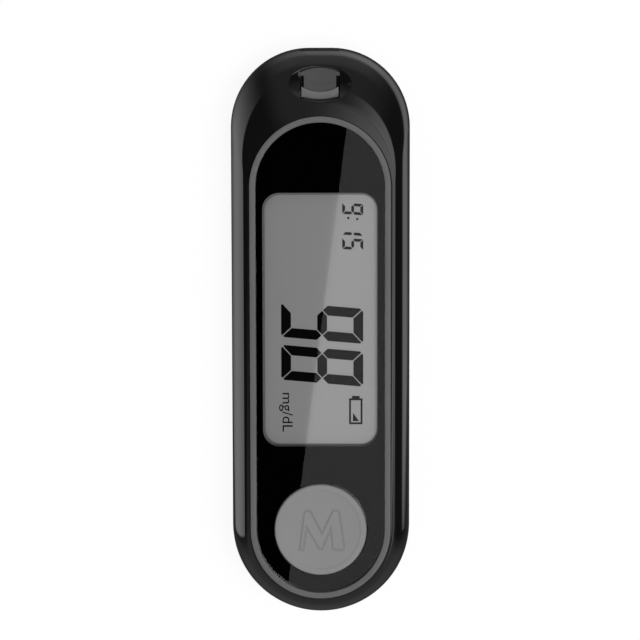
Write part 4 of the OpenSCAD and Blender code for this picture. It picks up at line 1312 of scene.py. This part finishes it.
@dataclass
class ModeButton:
    """The round dished thumb button, with a key mark that stands up out of a groove."""

    plan: Plan
    rim: float = 1.0 * MM
    dish_depth: float = 0.34 * MM
    step_depth: float = 0.11 * MM
    step_width: float = 0.4 * MM
    top_edge: float = 0.4 * MM
    skin: float = 1.1 * MM
    mark_height: float = 0.06 * MM
    mark_wall: float = 0.16 * MM
    groove_depth: float = 0.17 * MM
    groove_width: float = 0.15 * MM
    sides: int = 384
    radial_step: float = 0.08 * MM
    flange_gap: float = 0.15 * MM
    flange_width: float = 1.1 * MM
    flange_height: float = 0.7 * MM
    stem_radius: float = 1.7 * MM
    crease: float = 32.0

    # Key mark: a letter M with a thin left leg and right diagonal, in millimetres about the button's middle
    MARK: ClassVar[tuple[Point2, ...]] = (
        (-3.95, -3.85), (-3.08, 3.3), (-2.6, 3.62), (-2.05, 3.35), (0.15, -1.05), (2.35, 3.55), (3.28, 3.55),
        (4.3, -3.55), (3.9, -3.78), (2.35, -3.75), (1.93, 0.77), (0.13, -3.56), (-0.28, -3.6), (-2.83, 0.78),
        (-3.5, -3.85),
    )

    def top_height(self, radius: np.ndarray, top: float) -> np.ndarray:
        """Height of the dished top at a distance from the middle."""
        reach = self.plan.button_radius - self.rim
        bowl = self.dish_depth * (1 - np.minimum(radius / reach, 1) ** 2)
        inward = np.clip((reach - radius) / self.step_width, 0, 1)
        return top - bowl - self.step_depth * inward * inward * (3 - 2 * inward)

    def marked_top(self, place: np.ndarray, top: float) -> np.ndarray:
        """Heights of the dished top with the key mark in it.

        Args:
            place: Points in plan about the button's middle.
            top: Height of the rim.

        Returns:
            One height for each point.
        """
        height = self.top_height(np.hypot(place[:, 0], place[:, 1]), top)
        depth = inside_depth(place, np.array(self.MARK) * MM)
        rise = np.clip(depth / self.mark_wall + 0.5, 0, 1)
        rise = rise * rise * (3 - 2 * rise)
        groove = np.exp(-(((depth + self.groove_width) / self.groove_width) ** 2))
        return height + self.mark_height * rise - self.groove_depth * groove

    def profile(self, radii: Sequence[float], low: Vector, high: Vector) -> list[Point2]:
        """Radii and heights from the middle of the top, over the rim and the flange, to the stem.

        Args:
            radii: Radii on the dished top, whose heights stay 0 here.
            low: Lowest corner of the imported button.
            high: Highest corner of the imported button.

        Returns:
            The profile.
        """
        outer = self.plan.button_radius
        profile: list[Point2] = [(radius, 0.0) for radius in radii]
        for angle in EDGE_ANGLES:
            x, y = math.sin(math.radians(angle)), math.cos(math.radians(angle))
            profile.append((outer - self.top_edge + self.top_edge * x, high.z - self.top_edge * (1 - y)))
        flange = outer + self.flange_gap + self.flange_width
        ledge = low.z + self.flange_height
        hollow = outer - self.skin
        roof = high.z - self.dish_depth - self.step_depth - self.skin
        return profile + [
            (outer, ledge), (flange, ledge), (flange, low.z), (hollow, low.z), (hollow, roof),
            (self.stem_radius, roof), (self.stem_radius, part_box("switch_plunger")[1].z),
        ]

    def build(self, finishes: "Finishes") -> None:
        """Builds the button and dresses the switch under it."""
        low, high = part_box("mode_button")
        middle = self.plan.end_y
        inner = self.plan.button_radius - self.top_edge
        radii = list(np.arange(self.radial_step, inner, self.radial_step)) + [inner]
        profile = self.profile(radii, low, high)
        n = self.sides
        points: list[Point3] = [(0.0, middle, 0.0)]
        for radius, height in profile:
            for a in np.linspace(0, 2 * math.pi, n, endpoint=False):
                points.append((radius * math.cos(a), middle + radius * math.sin(a), height))
        cloud = np.array(points)
        top = slice(0, 1 + len(radii) * n)
        cloud[top, 2] = self.marked_top(cloud[top, :2] - np.array([0, middle]), high.z)
        faces: list[Face] = [(0, 1 + i, 1 + (i + 1) % n) for i in range(n)]
        for k in range(len(profile) - 1):
            for i in range(n):
                a, b = 1 + k * n + i, 1 + k * n + (i + 1) % n
                faces.append((a, a + n, b + n, b))
        last = 1 + (len(profile) - 1) * n
        faces.append(tuple(last + i for i in reversed(range(n))))
        piece = smooth(make_object("thumb_button", cloud, faces), self.crease)
        dress(piece, Body.BUTTON, finishes.get(BUTTON_GREY), ["mode_button"])
        dress_node("switch_body", finishes.get(CHIP_BLACK))
        dress_node("switch_plunger", finishes.get(IVORY))


def inside_depth(points: np.ndarray, outline: np.ndarray) -> np.ndarray:
    """Distance of points from an outline, above 0 inside it and below 0 outside.

    Args:
        points: Points in plan.
        outline: Corners of a closed outline.

    Returns:
        One distance for each point.
    """
    nearest = np.full(len(points), np.inf)
    inside = np.zeros(len(points), bool)
    for a, b in zip(outline, np.roll(outline, -1, 0)):
        edge = b - a
        share = np.clip(((points - a) @ edge) / (edge @ edge), 0, 1)
        nearest = np.minimum(nearest, np.linalg.norm(points - a - share[:, None] * edge, axis=1))
        crosses = (a[1] > points[:, 1]) != (b[1] > points[:, 1])
        rise = edge[1] if abs(edge[1]) > TINY else TINY
        inside ^= crosses & (points[:, 0] < a[0] + (points[:, 1] - a[1]) / rise * edge[0])
    return np.where(inside, nearest, -nearest)


# ------------------------------------------------------------------------------
# Ejector
# ------------------------------------------------------------------------------


@dataclass
class Ejector:
    """The thumb slider, its track and its return spring."""

    plan: Plan
    dish: Dish
    bow: float = 12 * MM
    gap: float = 0.28 * MM
    rim_inset: float = 0.35 * MM
    slider_width: float = 6.95 * MM
    scoop_depth: float = 1.0 * MM
    track_rear: float = 2.85 * MM
    bow_steps: int = 16
    dome_steps: int = 24
    scoop_angles: Point2 = (180, 357.5)
    scoop_steps: int = 71
    slider_edge: float = 0.05 * MM
    track_edge: float = 0.04 * MM
    spring_turns: float = 8.0
    spring_wire: float = 0.25 * MM
    turn_points: int = 28
    wire_sides: int = 10

    def track(self) -> list[Point2]:
        """Outline of the opening in the dish: straight sides, a bowed near end and a domed far end."""
        half = self.slider_width / 2 + self.gap
        rear = self.dish.middle - self.track_rear
        rim_half = self.dish.width / 2 - self.rim_inset
        rise = self.dish.length / 2 - self.rim_inset
        dome = (rim_half**2 + rise**2) / (2 * rise)
        dome_y = self.dish.middle + rise - dome
        bow_centre = rear + self.bow
        bow = self.bow + self.gap
        near = math.degrees(math.asin(half / bow))
        far = math.degrees(math.asin(half / dome))
        near_end = arc((0, bow_centre), bow, 270 - near, 270 + near, self.bow_steps)
        return near_end + arc((0, dome_y), dome, 90 - far, 90 + far, self.dome_steps)

    def spring(self, material: bpy.types.Material) -> bpy.types.Object:
        """The return spring, a wire swept along a helix by a node tree."""
        low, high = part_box("ejector_spring")
        tree = GeometryTree("return_spring")
        radius = tree.size("Radius", (high.x - low.x - self.spring_wire) / 2)
        length = tree.size("Length", high.y - low.y - self.spring_wire)
        turns = tree.size("Turns", self.spring_turns)
        wire = tree.size("Wire radius", self.spring_wire / 2)
        helix = tree.made(
            "GeometryNodeCurveSpiral",
            {"Resolution": self.turn_points, "Rotations": turns, "Start Radius": radius, "End Radius": radius,
             "Height": length},
        )
        section = tree.made(
            "GeometryNodeCurvePrimitiveCircle", {"Resolution": self.wire_sides, "Radius": wire}, mode="RADIUS"
        )
        swept = tree.made(
            "GeometryNodeCurveToMesh", {"Curve": helix, "Profile Curve": section, "Fill Caps": True}
        )
        start = ((low.x + high.x) / 2, low.y + self.spring_wire / 2, (low.z + high.z) / 2)
        swept = tree.moved(swept, start, (-math.pi / 2, 0.0, 0.0))
        piece = outward(tree.build(empty_mesh("return_spring_wire"), swept, material))
        dress(piece, Body.METER, material, ["ejector_spring"])
        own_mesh(piece)
        return piece

    def build(self, finishes: "Finishes") -> None:
        """Builds slider, track and spring."""
        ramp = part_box("ejector_guide")[1].z
        _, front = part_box("ejector_slider")
        half = self.slider_width / 2
        scoop = (half**2 + self.scoop_depth**2) / (2 * self.scoop_depth)
        centre = (0.0, front.y - self.scoop_depth + scoop)
        slider = soften_edges(merged_copy("ejector_slider", "strip_slider"), self.slider_edge)
        outline = arc(centre, scoop, *self.scoop_angles, self.scoop_steps)
        cut(slider, [prism("scoop", outline, ramp, front.z + MM)])
        smooth(slider, EDGE_CREASE)
        dress(slider, Body.EJECTOR, finishes.get(SLIDER_GREY), ["ejector_slider"])
        guide = soften_edges(merged_copy("ejector_guide", "slider_track"), self.track_edge)
        dress(guide, Body.METER, finishes.get(GUIDE_GREY), ["ejector_guide"])
        self.spring(finishes.get(SPRING_STEEL))


# ------------------------------------------------------------------------------
# Back and inner parts
# ------------------------------------------------------------------------------


def dress_node(node: str, material: bpy.types.Material) -> None:
    """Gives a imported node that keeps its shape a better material."""
    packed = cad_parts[node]
    if not packed.material_slots:
        packed.data.materials.append(material)
    for slot in packed.material_slots:
        slot.material = material
    LOG.info("%s: dressed as it is", node)


class Finishes:
    """Builds each finish once."""

    def __init__(self) -> None:
        """Starts with no material built."""
        self.built: dict[str, bpy.types.Material] = {}

    def get(self, finish: Finish) -> bpy.types.Material:
        """The material of a finish."""
        if finish.name not in self.built:
            self.built[finish.name] = finish.build()
        return self.built[finish.name]


@dataclass
class Screws:
    """Cross-recess screws, made once by a node tree and placed on points."""

    head_radius: float = 1.4 * MM
    head_height: float = 0.9 * MM
    shoulder: float = 0.22
    core_radius: float = 0.58 * MM
    crest_radius: float = 0.75 * MM
    pitch: float = 0.55 * MM
    recess_half: float = 0.92 * MM
    recess_width: float = 0.36 * MM
    recess_depth: float = 0.5 * MM
    head_sides: int = 48
    head_rows: int = 6
    shank_sides: int = 32
    thread_points: int = 20
    tooth_sides: int = 4
    crease: float = 35.0

    def build(
        self, node: str, name: str, seat: float, length: float, drive_down: bool,
        material: bpy.types.Material,
    ) -> bpy.types.Object:
        """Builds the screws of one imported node.

        Args:
            node: The node that the screws stand for, one loose part for each head and shank.
            name: Name of the piece.
            seat: Height that the heads sit on.
            length: Length of the shanks.
            drive_down: Whether the heads face the back of the meter.
            material: Their finish.

        Returns:
            The finished piece.
        """
        tree = GeometryTree(name)
        radius = tree.size("Head radius", self.head_radius)
        height = tree.size("Head height", self.head_height)
        core = tree.size("Core radius", self.core_radius)
        crest = tree.size("Crest radius", self.crest_radius)
        reach = tree.size("Shank length", length)
        pitch = tree.size("Thread pitch", self.pitch)
        slot = tree.size("Recess width", self.recess_width)
        span = tree.size("Recess span", 2 * self.recess_half)
        deep = tree.size("Recess depth", self.recess_depth)
        head = tree.made(
            "GeometryNodeMeshCylinder",
            {"Vertices": self.head_sides, "Side Segments": self.head_rows, "Radius": radius, "Depth": height},
        )
        place = tree.made("GeometryNodeInputPosition")
        parts = tree.node("ShaderNodeSeparateXYZ", {0: place}).outputs
        share = tree.math("MAXIMUM", tree.math("DIVIDE", parts[2], height), 0.0)
        squared = tree.math("MULTIPLY", share, share)
        shrinkage = tree.math("SUBTRACT", 1.0, tree.math("MULTIPLY", squared, 4 * self.shoulder))
        round_place = tree.vector(
            tree.math("MULTIPLY", parts[0], shrinkage), tree.math("MULTIPLY", parts[1], shrinkage), parts[2]
        )
        head = tree.made("GeometryNodeSetPosition", {"Geometry": head, "Position": round_place})
        head = tree.moved(head, tree.vector(0.0, 0.0, tree.math("MULTIPLY", height, 0.5)))
        bars = tree.node("GeometryNodeJoinGeometry")
        for size in (tree.vector(span, slot, deep), tree.vector(slot, span, deep)):
            bar = tree.made("GeometryNodeMeshCube", {"Size": size})
            tree.tree.links.new(tree.moved(bar, tree.vector(0.0, 0.0, height)), bars.inputs[0])
        head = tree.made(
            "GeometryNodeMeshBoolean", {"Mesh 1": head, "Mesh 2": bars.outputs[0], "Self Intersection": True},
            operation="DIFFERENCE", solver="EXACT",
        )
        shank = tree.made(
            "GeometryNodeMeshCylinder", {"Vertices": self.shank_sides, "Radius": core, "Depth": reach}
        )
        down = tree.math("MULTIPLY", reach, -1.0)
        shank = tree.moved(shank, tree.vector(0.0, 0.0, tree.math("MULTIPLY", down, 0.5)))
        ridge = tree.math("SUBTRACT", crest, core)
        usable = tree.math("SUBTRACT", reach, tree.math("MULTIPLY", ridge, 2.0))
        helix = tree.made(
            "GeometryNodeCurveSpiral",
            {"Resolution": self.thread_points, "Rotations": tree.math("DIVIDE", usable, pitch),
             "Start Radius": core, "End Radius": core, "Height": usable},
        )
        tooth = tree.made(
            "GeometryNodeCurvePrimitiveCircle", {"Resolution": self.tooth_sides, "Radius": ridge},
            mode="RADIUS",
        )
        thread = tree.made(
            "GeometryNodeCurveToMesh", {"Curve": helix, "Profile Curve": tooth, "Fill Caps": True}
        )
        thread = tree.moved(thread, tree.vector(0.0, 0.0, tree.math("ADD", down, ridge)))
        screw = tree.node("GeometryNodeJoinGeometry")
        for part in (head, shank, thread):
            tree.tree.links.new(part, screw.inputs[0])
        turn = (math.pi, 0.0, 0.0) if drive_down else (0.0, 0.0, 0.0)
        one = tree.made(
            "GeometryNodeInstanceOnPoints",
            {"Points": tree.group_in.outputs[0], "Instance": screw.outputs[0], "Rotation": turn},
        )
        points = [(x, y, seat) for x, y in places_of(node)]
        piece = outward(tree.build(empty_mesh(name, points), one, material))
        smooth(piece, self.crease)
        return dress(piece, Body.METER, material, [node])


@dataclass
class Inside:
    """The electronics and the cell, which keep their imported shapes."""

    def build(self, finishes: Finishes) -> None:
        """Dresses each inner node."""
        for node, finish in (
            ("main_board", BOARD_GREEN), ("processor_chip", CHIP_BLACK), ("analog_chip", CHIP_BLACK),
            ("crystal_can", CELL_STEEL), ("passive_parts", CERAMIC), ("buzzer", BRASS),
            ("coin_cell", CELL_STEEL), ("battery_contact_positive", CONTACT_METAL),
            ("battery_contact_negative", CONTACT_METAL),
            ("strip_connector", CHIP_BLACK), ("strip_contacts", BRASS), ("rear_cover", MATTE_BLACK),
            ("battery_door", MATTE_BLACK),
        ):
            dress_node(node, finishes.get(finish))
        steel = finishes.get(SCREW_STEEL)
        screws = Screws()
        low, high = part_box("housing_screws")
        seat = low.z + screws.head_height
        screws.build("housing_screws", "cover_screws", seat, high.z - seat, True, steel)
        low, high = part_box("board_screws")
        seat = high.z - screws.head_height
        screws.build("board_screws", "board_holding_screws", seat, seat - low.z, False, steel)


# ------------------------------------------------------------------------------
# Studio: camera, floor, tent and lamp
# ------------------------------------------------------------------------------


@dataclass(frozen=True)
class Panel:
    """One even panel of the tent as reflections see it, with soft edges.

    Its place is given by the slopes of a gloss surface that mirror it to the camera, in degrees: the azimuth
    that a slope faces, from +X towards +Y, and its tilt from the level. A fade reaches that far either way.
    """

    name: str
    azimuths: Point2
    side_fades: Point2
    tilts: Point2
    tilt_fades: Point2
    radiance: float

    def light(
        self, nodes: Nodes, azimuth: bpy.types.NodeSocket, tilt: bpy.types.NodeSocket
    ) -> bpy.types.NodeSocket:
        """The panel's radiance as a slope mirrors it.

        Args:
            nodes: The tree to add to.
            azimuth: Azimuth of the mirroring slope, in degrees.
            tilt: Tilt of the mirroring slope, in degrees.

        Returns:
            The radiance, which is 0 off the panel.
        """
        start, end = self.azimuths
        margin = (360.0 - (end - start)) / 2
        turned = nodes.math("FLOORED_MODULO", nodes.math("SUBTRACT", azimuth, start - margin), 360.0)
        beside = self.span(nodes, turned, (margin, margin + end - start), self.side_fades)
        below = self.span(nodes, tilt, self.tilts, self.tilt_fades)
        return nodes.math("MULTIPLY", nodes.math("MULTIPLY", beside, below), self.radiance)

    @staticmethod
    def span(
        nodes: Nodes, angle: bpy.types.NodeSocket, ends: Point2, fades: Point2
    ) -> bpy.types.NodeSocket:
        """A share of 1 between two angles and 0 beyond them.

        Args:
            nodes: The tree to add to.
            angle: The angle.
            ends: Where the span starts and ends.
            fades: Half the stretch over which each end fades.

        Returns:
            The share.
        """
        begun, ended = (nodes.step(angle, end - fade, end + fade) for end, fade in zip(ends, fades))
        return nodes.math("SUBTRACT", begun, ended)


# A start below any tilt, for panels that a level surface mirrors too
PEAK = -10.0

PANELS = (
    Panel("key softbox", (-52, 58), (1.5, 45), (PEAK, 7), (2, 2), 2.4),
    Panel("lower half of the softbox", (-14, 51), (2, 25), (7, 15.5), (1, 1), 2.4),
    Panel("front curtain", (45, 125), (20, 10), (PEAK, 70), (3, 15), 0.3),
    Panel("rear curtain", (200, 340), (12, 10), (4, 58), (3, 20), 0.6),
    Panel("right wall", (-8, 92), (2, 35), (57, 72), (3, 10), 1.2),
    Panel("front wall", (55, 115), (15, 10), (38, 68), (4, 12), 0.35),
    Panel("left wall", (150, 192), (24, 1.5), (28, 64), (1.5, 22), 2.6),
)


@dataclass
class Studio:
    """The camera, the pale floor and the soft light of a tent, whose panels only reflections see.

    The apex is about the direction of the camera. The window card is what the level lens mirrors: black on
    one side of a slanting line and lit on the other. Its half width and two ends, and the line's place and
    slant, are parts of the mirroring slope.
    """

    distance: float = 612.07 * MM
    target_z: float = 7.5 * MM
    pitch: float = 7.771
    yaw: float = 0.574
    roll: float = 0.107
    lens: float = 179.91
    sensor: float = 36.0
    nearest: float = 0.01
    shift: Point2 = (-0.0011, 0.01864)
    apex: Point3 = (0.01, 0.085, 0.99)
    dim_radiance: float = 0.07
    window_card: Point3 = (0.0135, -0.078, 0.009)
    card_split: Point2 = (0.0033, 0.13)
    card_radiance: float = 0.45
    fill: float = 0.4
    floor_half: float = 3.0
    floor_z: float = -0.05 * MM
    floor_tone: float = 0.95
    floor_glow: float = 0.9
    glow_strength: float = 1.02
    key_place: Point3 = (0.24, -0.04, 0.88)
    key_size: float = 0.4
    key_power: float = 5.2

    def camera(self) -> None:
        """A long lens over the meter, a little towards its nose."""
        pitch, yaw, roll = (math.radians(a) for a in (self.pitch, self.yaw, self.roll))
        aim = (math.sin(yaw) * math.cos(pitch), math.sin(pitch), math.cos(pitch) * math.cos(yaw))
        back = Vector(aim).normalized()
        place = Vector((0, 0, self.target_z)) + back * self.distance
        right = (-back).cross(Vector((math.sin(roll), math.cos(roll), 0))).normalized()
        up = right.cross(-back).normalized()
        data = bpy.data.cameras.new("camera")
        data.lens = self.lens
        data.sensor_width = self.sensor
        data.shift_x, data.shift_y = self.shift
        data.clip_start = self.nearest
        camera = bpy.data.objects.new("camera", data)
        turn = Matrix((right, up, back)).transposed().to_4x4()
        camera.matrix_world = Matrix.Translation(place) @ turn
        bpy.context.scene.collection.objects.link(camera)
        bpy.context.scene.camera = camera

    def floor(self) -> None:
        """A pale floor that shows white and keeps the soft shadow, and is clear from below."""
        half, low = self.floor_half, self.floor_z
        corners = [(-half, -half, low), (half, -half, low), (half, half, low), (-half, half, low)]
        piece = make_object("floor", corners, [(0, 1, 2, 3)])
        material = bpy.data.materials.new("pale_floor")
        material.use_nodes = True
        nodes = Nodes(material.node_tree)
        material.node_tree.nodes.clear()
        tone = (self.floor_tone,) * 3
        matt = nodes.new("ShaderNodeBsdfDiffuse")
        matt.inputs["Color"].default_value = (*tone, 1)
        glow = nodes.new("ShaderNodeEmission")
        glow.inputs["Strength"].default_value = self.glow_strength
        path = nodes.new("ShaderNodeLightPath")
        seen = nodes.math("MAXIMUM", path.outputs["Is Camera Ray"], path.outputs["Is Glossy Ray"])
        seen = nodes.math("MAXIMUM", seen, path.outputs["Is Transmission Ray"])
        mix = nodes.new("ShaderNodeMixShader")
        nodes.link(nodes.math("MULTIPLY", seen, self.floor_glow), mix.inputs[0])
        nodes.link(matt.outputs[0], mix.inputs[1])
        nodes.link(glow.outputs[0], mix.inputs[2])
        clear = nodes.new("ShaderNodeBsdfTransparent")
        side = nodes.new("ShaderNodeNewGeometry")
        whole = nodes.new("ShaderNodeMixShader")
        nodes.link(side.outputs["Backfacing"], whole.inputs[0])
        nodes.link(mix.outputs[0], whole.inputs[1])
        nodes.link(clear.outputs[0], whole.inputs[2])
        out = nodes.new("ShaderNodeOutputMaterial")
        nodes.link(whole.outputs[0], out.inputs["Surface"])
        piece.data.materials.append(material)
        piece.visible_glossy = False

    def tent(self, nodes: Nodes) -> bpy.types.NodeSocket:
        """The tent as reflections see it, by direction: a dim cloth with a few panels of light.

        Args:
            nodes: The world's tree.

        Returns:
            The radiance.
        """
        where = nodes.new("ShaderNodeTexCoord")
        lifted = nodes.new("ShaderNodeVectorMath", operation="ADD")
        nodes.link(where.outputs["Generated"], lifted.inputs[0])
        lifted.inputs[1].default_value = self.apex
        lean = nodes.new("ShaderNodeVectorMath", operation="NORMALIZE")
        nodes.link(lifted.outputs[0], lean.inputs[0])
        parts = nodes.new("ShaderNodeSeparateXYZ")
        nodes.link(lean.outputs[0], parts.inputs[0])
        x, y, z = parts.outputs
        azimuth = nodes.math("DEGREES", nodes.math("ARCTAN2", y, x))
        tilt = nodes.math("DEGREES", nodes.math("ARCCOSINE", z))
        tent = self.dim_radiance
        for panel in PANELS:
            tent = nodes.math("ADD", tent, panel.light(nodes, azimuth, tilt))
            LOG.info("%s: hung in the tent", panel.name)
        half, card_low, card_high = self.window_card
        inside = nodes.math("LESS_THAN", nodes.math("ABSOLUTE", x), half)
        inside = nodes.math("MULTIPLY", inside, nodes.math("GREATER_THAN", y, card_low))
        inside = nodes.math("MULTIPLY", inside, nodes.math("LESS_THAN", y, card_high))
        split = nodes.math("ADD", nodes.math("MULTIPLY", y, self.card_split[1]), self.card_split[0])
        card = nodes.math("MULTIPLY", nodes.math("GREATER_THAN", x, split), self.card_radiance)
        return nodes.between(tent, card, inside)

    def world(self) -> None:
        """White to the camera, the tent to mirrors and glass, and a soft even fill to matt surfaces."""
        world = bpy.data.worlds.new("studio")
        bpy.context.scene.world = world
        world.use_nodes = True
        world.cycles.sampling_method = "NONE"
        nodes = Nodes(world.node_tree)
        world.node_tree.nodes.clear()
        path = nodes.new("ShaderNodeLightPath")
        mirrored = nodes.math("MAXIMUM", path.outputs["Is Glossy Ray"], path.outputs["Is Transmission Ray"])
        strength = nodes.between(self.fill, self.tent(nodes), mirrored)
        strength = nodes.between(strength, 1.0, path.outputs["Is Camera Ray"])
        back = nodes.new("ShaderNodeBackground")
        nodes.link(strength, back.inputs["Strength"])
        out = nodes.new("ShaderNodeOutputWorld")
        nodes.link(back.outputs[0], out.inputs["Surface"])

    def lamp(self, name: str, place: Point3, size: float, power: float) -> None:
        """A soft square lamp aimed at the meter, not seen in reflections."""
        data = bpy.data.lights.new(name, "AREA")
        data.shape = "SQUARE"
        data.size = size
        data.energy = power
        lamp = bpy.data.objects.new(name, data)
        turn = Vector(place).to_track_quat("Z", "Y").to_matrix().to_4x4()
        lamp.matrix_world = Matrix.Translation(place) @ turn
        lamp.visible_glossy = False
        lamp.visible_transmission = False
        bpy.context.scene.collection.objects.link(lamp)

    def build(self) -> None:
        """Sets the camera, floor, world and lamp."""
        scene = bpy.context.scene
        scene.view_settings.view_transform = "Standard"
        self.camera()
        self.floor()
        self.world()
        self.lamp("key", self.key_place, self.key_size, self.key_power)


def main() -> None:
    """Builds the meter and its studio."""
    logging.basicConfig(level=logging.INFO, format="%(message)s")
    studio = Studio()
    studio.build()
    plan = Plan.from_frame()
    finishes = Finishes()
    dish = Dish(plan)
    ejector = Ejector(plan, dish)
    FrontShell(plan, dish).build(finishes.get(GLOSS_BLACK), ejector.track())
    FaceSet(plan).build(finishes)
    Display(plan).build(finishes)
    ModeButton(plan).build(finishes)
    ejector.build(finishes)
    Inside().build(finishes)


if __name__ == "__main__":
    main()
